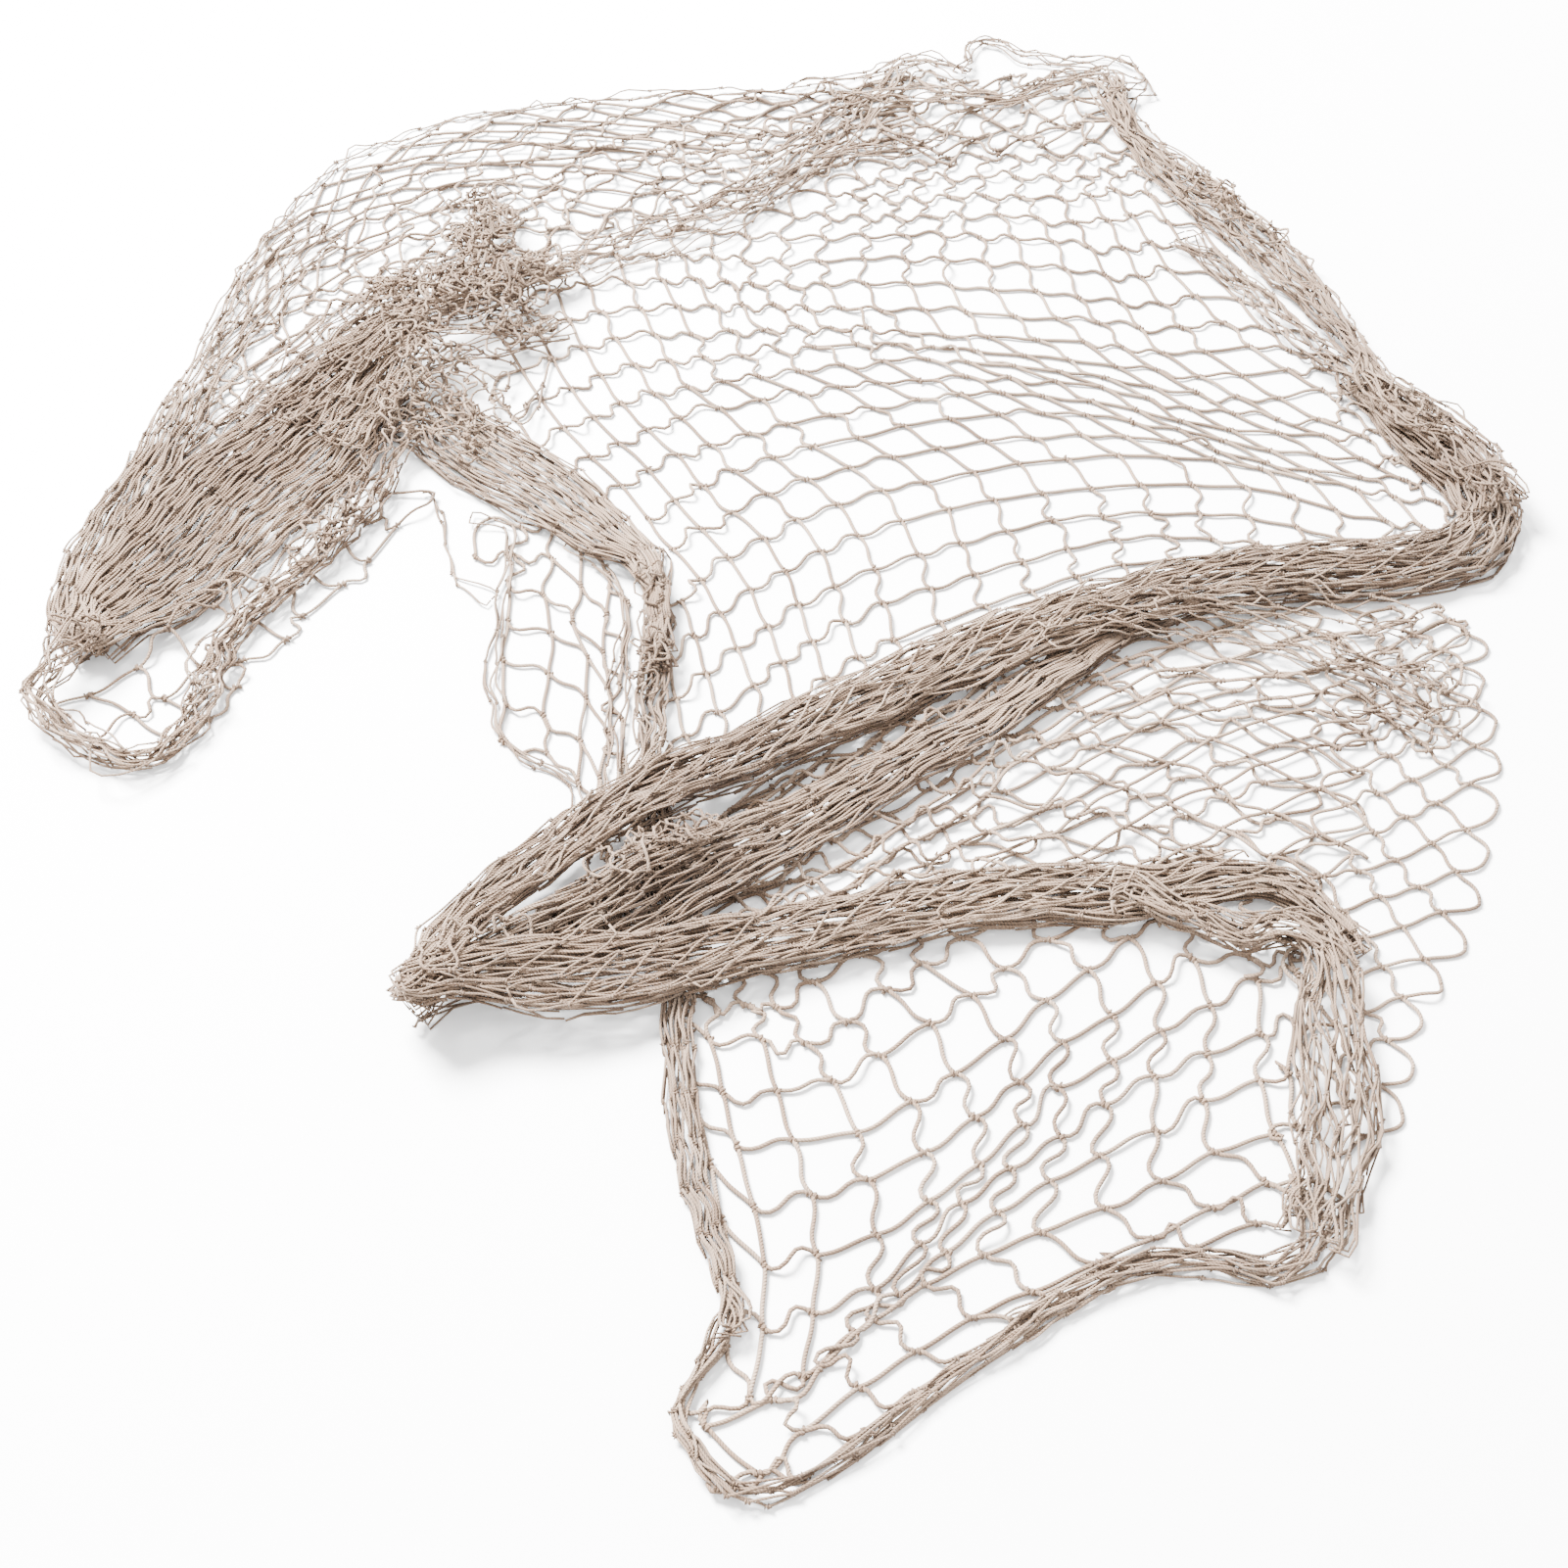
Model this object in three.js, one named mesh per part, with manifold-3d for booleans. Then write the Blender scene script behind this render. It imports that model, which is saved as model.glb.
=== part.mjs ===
// A decorative fishing net of knotted cotton twine, thrown down loosely on a flat surface.
// It is one piece of netting: wide open panels with the slack gathered between them into thick
// folds, a crumpled heap at the back left, and two ends where all the twines are drawn together.
// Units are millimetres. +X is to the right, +Y to the back and +Z up, and the net lies on z = 0.

import * as THREE from "three";
import Module from "manifold-3d";
import { mergeVertices } from "three/addons/utils/BufferGeometryUtils.js";

const wasm = await Module();
wasm.setup();

// Driving sizes
const TWINE = 2; // diameter of the twine
const SHEET = 2 * TWINE; // height of open netting, which is two twines at a knot
const RIM = 0.75 * SHEET; // height of a panel or a fold along its edges
const PANEL_SPANS = 4; // flat faces across an open panel
const FOLD_SPANS = 6; // flat faces across a gathered fold
const SPANS_PER_ROW = 2; // flat faces along, between two rows of a table
const GAP_SIDES = 8; // flat faces around a gap
const SURFACE_WAVE = 0.8; // how far open netting rises and falls
const WAVE_X = 31; // wave lengths over 2 pi, in x and y
const WAVE_Y = 23;

// The point of the layout that lies at the part's origin, so that x = y = 0 is the middle.
const CENTRE_X = 5.7;
const CENTRE_Y = 108.9;

// Open panels, from one end to the other. Each row goes across the panel, from edge a to edge b.
const PANEL_COLUMNS = ["ax", "ay", "bx", "by"];
const PANELS = {
  middle: [
    [-62, -12, -170, 300],
    [-10, 5, -75, 388],
    [60, 45, 0, 430],
    [130, 92, 78, 468],
    [205, 115, 178, 486],
    [275, 125, 224, 408],
    [328, 138, 276, 305],
    [342, 146, 330, 190],
  ],
  front: [
    [-46, -95, -46, -120],
    [-20, -85, -38, -210],
    [30, -75, -18, -272],
    [90, -65, 5, -338],
    [150, -65, 80, -285],
    [200, -80, 135, -248],
    [218, -95, 200, -243],
  ],
  frontCorner: [
    [-12, -262, -24, -278],
    [0, -285, -42, -305],
    [10, -318, -36, -326],
    [8, -338, -14, -342],
  ],
  right: [
    [-132, -112, -118, -78],
    [-70, -98, -40, -8],
    [0, -75, 60, 45],
    [60, -66, 110, 82],
    [130, -64, 170, 110],
    [200, -70, 235, 122],
    [262, -72, 292, 122],
    [306, -44, 337, 106],
  ],
  rightEdge: [
    [224, -52, 320, 8],
    [236, -80, 305, -48],
    [230, -112, 280, -108],
    [226, -150, 258, -148],
    [222, -190, 243, -186],
    [212, -225, 226, -222],
  ],
  back: [
    [-274, 402, -150, 330],
    [-248, 452, -140, 345],
    [-190, 497, -100, 360],
    [-115, 508, -50, 385],
    [-40, 514, 0, 432],
    [30, 520, 60, 440],
    [95, 556, 110, 462],
    [150, 558, 180, 480],
    [206, 532, 196, 500],
  ],
  left: [
    [-345, 96, -268, 96],
    [-337, 150, -240, 146],
    [-326, 198, -208, 196],
    [-308, 252, -180, 235],
    [-297, 302, -150, 280],
    [-291, 348, -140, 320],
    [-274, 400, -130, 350],
    [-238, 462, -125, 380],
  ],
  middleLeft: [
    [-176, 196, -120, 196],
    [-162, 160, -85, 165],
    [-142, 125, -62, 130],
    [-139, 80, -58, 85],
    [-132, 30, -60, 35],
    [-104, 2, -62, 0],
    [-90, -30, -60, -35],
  ],
  tailLoops: [
    [-262, 52, -244, 58],
    [-250, 92, -226, 86],
    [-228, 122, -204, 122],
    [-206, 156, -184, 158],
    [-190, 190, -170, 188],
    [-178, 212, -158, 205],
  ],
  tailNetting: [
    [-320, 68, -334, 42],
    [-304, 78, -314, 20],
    [-284, 92, -292, 14],
    [-266, 108, -270, 34],
    [-246, 132, -258, 82],
    [-226, 160, -236, 114],
    [-206, 188, -214, 150],
  ],
};

// Gathered folds, as a row of widths and heights along the middle of each.
const FOLD_COLUMNS = ["x", "y", "width", "height"];
const FOLDS = {
  longFold: [
    [345, 166, 24, 13],
    [337, 146, 30, 16],
    [318, 133, 34, 17],
    [290, 128, 34, 18],
    [240, 125, 34, 18],
    [190, 114, 34, 19],
    [140, 95, 34, 19],
    [90, 73, 33, 18],
    [40, 44, 32, 18],
    [-10, 12, 30, 17],
    [-60, -20, 28, 16],
    [-102, -56, 26, 15],
    [-132, -88, 24, 13],
    [-147, -114, 16, 11],
    [-152, -130, 9, 7],
  ],
  innerFold: [
    [128, 58, 16, 8],
    [95, 33, 22, 12],
    [50, 0, 24, 14],
    [5, -36, 26, 14],
    [-40, -70, 26, 15],
    [-85, -98, 28, 15],
    [-120, -110, 24, 13],
    [-140, -118, 16, 11],
  ],
  lowerFold: [
    [-147, -126, 14, 10],
    [-122, -122, 27, 14],
    [-85, -118, 32, 17],
    [-40, -106, 30, 18],
    [10, -90, 28, 17],
    [60, -76, 27, 16],
    [110, -70, 27, 16],
    [155, -69, 26, 15],
    [182, -76, 28, 13],
    [205, -80, 28, 12],
  ],
  sideFold: [
    [196, -76, 22, 12],
    [216, -84, 24, 13],
    [225, -104, 26, 12],
    [222, -140, 30, 11],
    [220, -172, 28, 10],
    [216, -204, 26, 10],
    [207, -228, 22, 10],
    [194, -242, 15, 8],
  ],
  frontHem: [
    [200, -240, 14, 8],
    [170, -242, 13, 7],
    [130, -248, 12, 7],
    [90, -272, 12, 7],
    [50, -303, 11, 6],
    [20, -328, 8, 5],
    [-5, -341, 8, 5],
    [-25, -334, 8, 5],
    [-40, -315, 7, 5],
    [-38, -298, 6, 5],
  ],
  frontSideHem: [
    [-38, -300, 6, 5],
    [-24, -280, 8, 5],
    [-22, -262, 9, 6],
    [-30, -235, 12, 8],
    [-40, -195, 14, 9],
    [-46, -155, 14, 9],
    [-47, -115, 16, 9],
    [-52, -80, 18, 8],
    [-60, -40, 20, 8],
  ],
  droppedFold: [
    [-172, 232, 42, 14],
    [-140, 200, 46, 12],
    [-108, 172, 44, 10],
    [-80, 148, 34, 11],
    [-64, 115, 26, 11],
    [-60, 75, 24, 11],
    [-63, 35, 22, 11],
    [-66, -10, 22, 11],
    [-62, -40, 20, 9],
  ],
  backRightFold: [
    [186, 522, 22, 8],
    [190, 490, 18, 9],
    [204, 448, 24, 10],
    [222, 412, 42, 13],
    [246, 372, 46, 14],
    [266, 330, 44, 13],
    [286, 285, 32, 13],
    [300, 245, 34, 15],
    [318, 212, 44, 17],
    [334, 182, 36, 17],
    [344, 160, 22, 14],
  ],
  backFold: [
    [-118, 350, 26, 14],
    [-80, 372, 24, 10],
    [-40, 392, 26, 9],
    [0, 438, 34, 9],
    [40, 478, 28, 9],
    [90, 500, 20, 8],
    [140, 512, 16, 8],
    [190, 518, 16, 8],
  ],
  backCrest: [
    [-262, 408, 22, 8],
    [-238, 446, 24, 9],
    [-186, 482, 26, 10],
    [-120, 492, 26, 9],
    [-50, 498, 28, 9],
    [10, 506, 26, 9],
    [60, 532, 24, 10],
    [104, 553, 20, 9],
    [150, 547, 16, 8],
    [194, 536, 15, 8],
    [204, 518, 10, 7],
  ],
  leftBundle: [
    [-326, 72, 20, 15],
    [-321, 92, 42, 19],
    [-303, 122, 68, 16],
    [-282, 160, 84, 12],
    [-255, 200, 84, 12],
    [-225, 240, 78, 16],
    [-200, 275, 60, 26],
  ],
  leftEdgeFold: [
    [-334, 84, 18, 12],
    [-332, 118, 26, 13],
    [-323, 165, 28, 11],
    [-309, 212, 26, 10],
    [-298, 262, 22, 9],
    [-289, 312, 18, 8],
    [-279, 362, 18, 8],
    [-262, 408, 20, 8],
  ],
  tail: [
    [-324, 74, 16, 14],
    [-328, 60, 13, 11],
    [-336, 44, 9, 8],
    [-328, 28, 9, 7],
    [-310, 15, 10, 7],
    [-290, 12, 11, 7],
    [-274, 26, 12, 8],
    [-264, 55, 16, 9],
    [-256, 88, 17, 10],
    [-234, 118, 17, 10],
    [-212, 155, 17, 11],
    [-199, 195, 19, 12],
    [-190, 232, 26, 16],
  ],
  heapCrest: [
    [-168, 450, 24, 5],
    [-168, 412, 36, 15],
    [-166, 376, 50, 22],
    [-172, 340, 70, 28],
    [-184, 306, 84, 36],
    [-186, 268, 70, 34],
    [-182, 234, 60, 24],
    [-172, 206, 40, 12],
  ],
  heapShoulder: [
    [-222, 330, 22, 16],
    [-206, 318, 44, 30],
    [-180, 318, 54, 36],
    [-152, 330, 46, 28],
    [-128, 344, 36, 20],
    [-110, 350, 20, 8],
  ],
};

// Gaps where the surface below shows through, wider than a mesh: middle, half sizes and turn.
const GAP_COLUMNS = ["x", "y", "along", "across", "turn"];
const GAPS = {
  tailTop: [-228, 142, 12, 5, 55],
  tailUpper: [-263, 96, 10, 6, 40],
  tailMiddle: [-281, 74, 15, 9, 55],
  tailLower: [-295, 44, 14, 9, 35],
  tailEnd: [-316, 40, 9, 6, -30],
  loopUpper: [-194, 158, 9, 5, 55],
  loopLower: [-236, 92, 11, 5, 60],
  innerLower: [-70, -58, 16, 5, 38],
  endSlit: [-112, -90, 14, 5, 34],
  innerUpper: [-22, -28, 14, 4, 36],
  heapSide: [-134, 226, 9, 5, -60],
};

const degrees = (angle) => (angle * Math.PI) / 180;

const named = (columns, row) =>
  Object.fromEntries(columns.map((column, i) => [column, row[i]]));

const wave = (x, y) => SURFACE_WAVE * Math.sin(x / WAVE_X) * Math.cos(y / WAVE_Y);

// A smooth line through the points, as evenly numbered stations.
function stations(points, count) {
  const curve = new THREE.CatmullRomCurve3(points, false, "catmullrom", 0.5);
  return Array.from({ length: count + 1 }, (_, i) => curve.getPoint(i / count));
}

// The closed solid under a surface that runs between two edge lines, down to z = 0.
// topOf(station, share across, x, y) gives the height of the surface.
function lofted(edgeA, edgeB, spans, topOf) {
  const last = edgeA.length - 1;
  const points = [];
  const faces = [];
  const add = (x, y, z) => points.push(x - CENTRE_X, y - CENTRE_Y, z) / 3 - 1;
  const quad = (a, b, c, d) => faces.push(a, b, c, a, c, d);

  const rings = edgeA.map((a, station) => {
    const b = edgeB[station];
    const top = [];
    for (let i = 0; i <= spans; i++) {
      const share = i / spans;
      const x = THREE.MathUtils.lerp(a.x, b.x, share);
      const y = THREE.MathUtils.lerp(a.y, b.y, share);
      top.push(add(x, y, topOf(station, share, x, y)));
    }
    return { top, footA: add(a.x, a.y, 0), footB: add(b.x, b.y, 0) };
  });

  for (let s = 0; s < last; s++) {
    const [near, far] = [rings[s], rings[s + 1]];
    for (let i = 0; i < spans; i++)
      quad(near.top[i], near.top[i + 1], far.top[i + 1], far.top[i]);
    quad(near.footA, near.top[0], far.top[0], far.footA);
    quad(near.top[spans], near.footB, far.footB, far.top[spans]);
    quad(near.footB, near.footA, far.footA, far.footB);
  }
  for (const [ring, facesBack] of [[rings[0], false], [rings[last], true]])
    for (let i = 0; i <= spans; i++) {
      const next = i < spans ? ring.top[i + 1] : ring.footB;
      if (facesBack) faces.push(ring.footA, ring.top[i], next);
      else faces.push(ring.footA, next, ring.top[i]);
    }

  const geometry = new THREE.BufferGeometry();
  geometry.setAttribute("position", new THREE.Float32BufferAttribute(points, 3));
  geometry.setIndex(faces);
  return solid(geometry);
}

// A closed geometry as a solid that can be joined and cut, with its faces pointing out.
function solid(geometry) {
  geometry.deleteAttribute("normal");
  geometry.deleteAttribute("uv");
  const merged = mergeVertices(geometry);
  const shape = (triVerts) =>
    new wasm.Manifold(
      new wasm.Mesh({
        numProp: 3,
        vertProperties: merged.getAttribute("position").array,
        triVerts,
      }),
    );
  const triVerts = new Uint32Array(merged.index.array);
  const made = shape(triVerts);
  return made.volume() > 0 ? made : shape(triVerts.reverse());
}

// Open netting lies about one knot high, and sinks to its rim at both edges.
function panel(rows) {
  const cells = rows.map((row) => named(PANEL_COLUMNS, row));
  const count = SPANS_PER_ROW * (rows.length - 1);
  const edge = (x, y) =>
    stations(cells.map((cell) => new THREE.Vector3(cell[x], cell[y], 0)), count);
  return lofted(edge("ax", "ay"), edge("bx", "by"), PANEL_SPANS, (_, share, x, y) =>
    share === 0 || share === 1 ? RIM : SHEET + wave(x, y),
  );
}

// A gathered fold is a rounded ridge, highest along its middle.
function fold(rows) {
  const cells = rows.map((row) => named(FOLD_COLUMNS, row));
  const count = SPANS_PER_ROW * (rows.length - 1);
  const middle = stations(cells.map((c) => new THREE.Vector3(c.x, c.y, 0)), count);
  const sizes = stations(
    cells.map((c) => new THREE.Vector3(c.width, c.height, 0)),
    count,
  );
  const side = (sign) =>
    middle.map((point, i) => {
      const before = middle[Math.max(i - 1, 0)];
      const after = middle[Math.min(i + 1, count)];
      const along = after.clone().sub(before).normalize();
      const reach = (sign * sizes[i].x) / 2;
      return new THREE.Vector3(point.x - along.y * reach, point.y + along.x * reach, 0);
    });
  return lofted(side(-1), side(1), FOLD_SPANS, (station, share) =>
    THREE.MathUtils.lerp(RIM, sizes[station].y, Math.sin(Math.PI * share) ** 0.8),
  );
}

// The tool that cuts a gap: a rounded prism, taller than any fold.
function gap(row) {
  const { x, y, along, across, turn } = named(GAP_COLUMNS, row);
  const outline = new THREE.Shape();
  outline.absellipse(0, 0, along, across, 0, 2 * Math.PI, false, 0);
  const cutterHeight = 120;
  const cutter = new THREE.ExtrudeGeometry(outline, {
    depth: cutterHeight,
    bevelEnabled: false,
    curveSegments: GAP_SIDES,
  });
  cutter.rotateZ(degrees(turn));
  cutter.translate(x - CENTRE_X, y - CENTRE_Y, -cutterHeight / 2);
  return solid(cutter);
}

const netting = [
  ...Object.values(PANELS).map(panel),
  ...Object.values(FOLDS).map(fold),
].reduce((whole, piece) => whole.add(piece));
const net = Object.values(GAPS).map(gap).reduce((left, cutter) => left.subtract(cutter), netting);

function geometryOf(shape) {
  const mesh = shape.getMesh();
  const geometry = new THREE.BufferGeometry();
  geometry.setAttribute("position", new THREE.BufferAttribute(mesh.vertProperties, 3));
  geometry.setIndex(new THREE.BufferAttribute(mesh.triVerts, 1));
  geometry.computeVertexNormals();
  return geometry;
}

const cotton = new THREE.MeshStandardMaterial({
  color: 0xc9bcae,
  roughness: 0.95,
  metalness: 0,
});

const netMesh = new THREE.Mesh(geometryOf(net), cotton);
netMesh.name = "net";

const fishingNet = new THREE.Group();
fishingNet.add(netMesh);

export default fishingNet;
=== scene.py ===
# A decorative fishing net of knotted cotton twine, lying loosely on a pale floor. Lengths in the
# tables are millimetres in the net's own layout, and millimetres become metres as meshes are made.

import math

import bpy
import numpy as np
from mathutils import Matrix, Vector


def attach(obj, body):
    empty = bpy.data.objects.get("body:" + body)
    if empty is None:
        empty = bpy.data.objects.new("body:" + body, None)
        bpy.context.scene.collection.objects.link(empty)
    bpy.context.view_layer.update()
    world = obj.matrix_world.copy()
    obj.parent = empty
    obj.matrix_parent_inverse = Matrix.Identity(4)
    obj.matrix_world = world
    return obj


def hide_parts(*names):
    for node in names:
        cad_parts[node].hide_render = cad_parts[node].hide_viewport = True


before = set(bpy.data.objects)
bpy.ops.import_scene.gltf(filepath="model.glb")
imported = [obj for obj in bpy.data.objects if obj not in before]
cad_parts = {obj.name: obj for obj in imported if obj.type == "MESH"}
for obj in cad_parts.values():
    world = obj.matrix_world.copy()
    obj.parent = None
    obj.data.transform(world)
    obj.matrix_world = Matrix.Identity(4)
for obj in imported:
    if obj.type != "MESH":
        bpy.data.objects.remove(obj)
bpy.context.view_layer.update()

bpy.ops.object.select_all(action="DESELECT")
chance = np.random.default_rng(31)


# Front panel. One sheet of netting, knotted from two-millimetre cotton twine into meshes with
# 25 mm sides, lies almost flat between the hems. Its twines bow gently because it is slack.

TWINE = 1.8  # thickness of most of the twine
FRONT_TWINE = 2.0  # the front panel's twine is fuller
BAR = 26.5  # twine from one knot to the next
LAYOUT_MIDDLE = np.array([5.7, 108.9])  # the layout's point over the part's origin
PILE_CELL = 0.5
PILE_CORNER = np.array([-400.0, -400.0])
UP = np.array([0.0, 0.0, 1.0])
TINY = 1e-6  # keeps a division safe where a length is nothing
pile = np.zeros((1600, 2000))  # height of the net laid so far, cell by cell


def through(stations, values, at):
    """Values read between stations along a smooth curve through them."""
    stations, values = np.asarray(stations, float), np.asarray(values, float)
    slopes = np.gradient(values, stations, axis=0)
    at = np.clip(at, stations[0], stations[-1])
    left = np.clip(np.searchsorted(stations, at) - 1, 0, len(stations) - 2)
    shape = at.shape + (1,) * (values.ndim - 1)
    step = (stations[left + 1] - stations[left]).reshape(shape)
    t = (at - stations[left]).reshape(shape) / step
    rise, ease = t * t * (3 - 2 * t), t * (1 - t)
    bends = ease * ((1 - t) * slopes[left] - t * slopes[left + 1]) * step
    return values[left] * (1 - rise) + values[left + 1] * rise + bends


def turned(direction, angle):
    """Flat directions turned to the left by angles in radians."""
    c, s = np.cos(angle)[:, None], np.sin(angle)[:, None]
    return np.hstack([direction[:, :1] * c - direction[:, 1:] * s,
                      direction[:, :1] * s + direction[:, 1:] * c])


def inside(points, outline):
    """True for each point within a closed outline."""
    outline = np.asarray(outline, float)
    x, y = points[:, 0][:, None], points[:, 1][:, None]
    (ax, ay), (bx, by) = outline.T, np.roll(outline, -1, axis=0).T
    crosses = (ay > y) != (by > y)
    at = ax + (y - ay) * (bx - ax) / np.where(by == ay, TINY, by - ay)
    return (crosses & (x < at)).sum(axis=1) % 2 == 1


def netting(u, v, place, length=BAR, untidy=1.0, stray=0.0, slack=0.03, steps=8, frayed=True,
            rounded=1.1):
    """Knots at the whole u and v whose sum is even, and the bars of twine between them.

    place gives each knot's flat place, its least height and whether it is there at all. With a
    length the twine is that long between knots, and without one it follows the places closely."""
    grid_u, grid_v = np.meshgrid(u, v, indexing="ij")
    even = (grid_u + grid_v) % 2 == 0
    knots, lifts, kept = place(grid_u[even], grid_v[even])
    number = np.full(even.shape, -1)
    number[even] = np.where(kept, np.cumsum(kept) - 1, -1)
    ends = []
    for start, end in ((number[:-1, :-1], number[1:, 1:]), (number[:-1, 1:], number[1:, :-1])):
        both = (start >= 0) & (end >= 0)
        ends.append(np.stack([start[both], end[both]], axis=1))
    ends = np.concatenate(ends)
    for _ in range(0 if frayed else 3):  # no bar is left hanging from one knot
        meeting = np.bincount(ends.ravel(), minlength=kept.sum())
        ends = ends[(meeting[ends] > 1).all(axis=1)]
    knots, lifts = knots[kept] + chance.normal(0, stray, (kept.sum(), 2)), lifts[kept]
    tied = np.unique(ends)
    ends = np.searchsorted(tied, ends)
    knots, lifts = knots[tied], lifts[tied]
    if length is None:
        far = np.linalg.norm(knots[ends[:, 1]] - knots[ends[:, 0]], axis=1)
        least, further = 0.4, 0.6  # shares of the slack
        lengths = far * (1 + slack * (least + chance.exponential(further, len(ends))))
    else:
        uneven = 0.03  # knotted by hand, so no two bars are quite alike
        lengths = length * (1 + uneven * chance.standard_normal(len(ends)))
        settle(knots, ends, lengths)
    return bowed(knots, ends, lengths, lifts, untidy, steps, rounded)


def settle(knots, ends, lengths):
    """Moves knots where a bar would have to stretch, or where its ends are too close."""
    furthest, nearest = 0.97 * lengths, 0.35 * lengths
    give = 0.25  # what each of the two knots takes up of a misfit in one pass
    for _ in range(40):
        reach = knots[ends[:, 1]] - knots[ends[:, 0]]
        far = np.linalg.norm(reach, axis=1)
        misfit = np.maximum(far - furthest, 0) + np.minimum(far - nearest, 0)
        pull = reach * (give * misfit / np.maximum(far, TINY))[:, None]
        np.add.at(knots, ends[:, 0], pull)
        np.add.at(knots, ends[:, 1], -pull)


def knot_sums(count, ends, first, last):
    """For each of the knots, the sum of what the bars bring to it with their two ends."""
    sums = np.zeros((count,) + first.shape[1:])
    np.add.at(sums, ends[:, 0], first)
    np.add.at(sums, ends[:, 1], last)
    return sums


def bowed(knots, ends, lengths, lifts, untidy, steps, rounded):
    """Each bar as a springy bow of its own full length, which leaves its knots along their axes."""
    reach = knots[ends[:, 1]] - knots[ends[:, 0]]
    far = np.linalg.norm(reach, axis=1)[:, None]
    along = reach / np.maximum(far, TINY)
    axes = knot_sums(len(knots), ends, along, along)
    leaving, coming = (np.bincount(ends[:, end], minlength=len(knots)) for end in (0, 1))
    axes /= np.maximum(np.linalg.norm(axes, axis=1, keepdims=True), TINY)
    knot_turn, bar_turn = 0.2 * untidy, 0.15 * untidy
    axes = turned(axes, chance.normal(0, knot_turn, len(axes)))
    tips = (leaving == 0) & (coming == 2) | (leaving == 2) & (coming == 0)
    loops = tips[ends].any(axis=1)  # at an edge, two bars and their tip are one round loop
    lengths = np.where(loops, np.minimum(lengths, rounded * far[:, 0]), lengths)
    most_slack, fully_loose = 0.6, 0.15
    slack = np.clip(1 - far[:, 0] / lengths, 0, most_slack)
    loose = np.clip(slack / fully_loose, 0, 1)
    turn_back = 0.68  # how far a loose bar turns from its knot's axis towards its other knot
    tip_turn = 1.5
    tangents = []
    for end in (0, 1):
        axis = axes[ends[:, end]]
        away = np.arctan2(axis[:, 0] * along[:, 1] - axis[:, 1] * along[:, 0],
                          (axis * along).sum(axis=1))
        lean = away * (1 - turn_back * loose) + chance.normal(0, bar_turn, len(away)) * loose
        lean = np.where(tips[ends[:, end]], np.sign(away) * tip_turn, lean)
        tangents.append(turned(axis, lean)[:, None])
    t = np.linspace(0, 1, steps + 1)[None, :, None]
    start, finish = knots[ends[:, 0]][:, None], knots[ends[:, 1]][:, None]
    normal = np.stack([-along[:, 1], along[:, 0]], axis=1)[:, None]
    sides = [np.sign((tangent * normal).sum(axis=2, keepdims=True)) for tangent in tangents]
    swing = far[:, :, None] / np.pi * np.sqrt(np.maximum(lengths / far[:, 0] - 1, 0))[:, None, None]
    wave = (sides[0] + sides[1]) / 2 * np.sin(2 * np.pi * t) + (sides[0] - sides[1]) * np.sin(np.pi * t)
    flat = start * (1 - t) + finish * t + normal * swing * wave
    link = (lengths / steps)[:, None, None]
    longest_stub = 0.3 * far[:, :, None]
    stub = np.minimum(link, longest_stub)  # the part of a bar that its knot holds straight
    flat[:, 1:2], flat[:, -2:-1] = start + tangents[0] * stub, finish - tangents[1] * stub
    stiffness = 0.11
    for _ in range(120):  # the twine straightens itself, and each link keeps its length
        bend = flat[:, :-2] - 2 * flat[:, 1:-1] + flat[:, 2:]
        flat[:, 2:-2] -= stiffness * (bend[:, :-2] - 2 * bend[:, 1:-1] + bend[:, 2:])
        for first in (1, 2):
            one, two = flat[:, first:-2:2], flat[:, first + 1:-1:2]
            gap = two - one
            size = np.maximum(np.linalg.norm(gap, axis=2, keepdims=True), TINY)
            push = gap * (0.5 * (1 - link / size))
            one += push
            two -= push
        flat[:, 1:2], flat[:, -2:-1] = start + tangents[0] * stub, finish - tangents[1] * stub
    bow, taut_hop, slack_hop, highest_hop = 0.35, 0.4, 7, 5
    flat = flat + normal * untidy * chance.normal(0, bow, (len(ends), 1, 1)) * np.sin(np.pi * t)
    hop = (taut_hop + slack_hop * slack) * chance.exponential(0.5, len(ends)) * untidy
    mottle, darkest, palest = 0.13, 0.6, 1.4
    tones = np.clip(1 + mottle * chance.standard_normal(len(ends)), darkest, palest)
    return {"flat": flat, "ends": ends, "axes": axes, "lifts": lifts, "tips": tips,
            "hops": np.minimum(hop, highest_hop), "tones": tones}


def cells(flat):
    """Row and column of the pile under flat points."""
    spot = np.round((flat - PILE_CORNER) / PILE_CELL).astype(int)
    return np.clip(spot[..., 0], 2, pile.shape[0] - 3), np.clip(spot[..., 1], 2, pile.shape[1] - 3)


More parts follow.
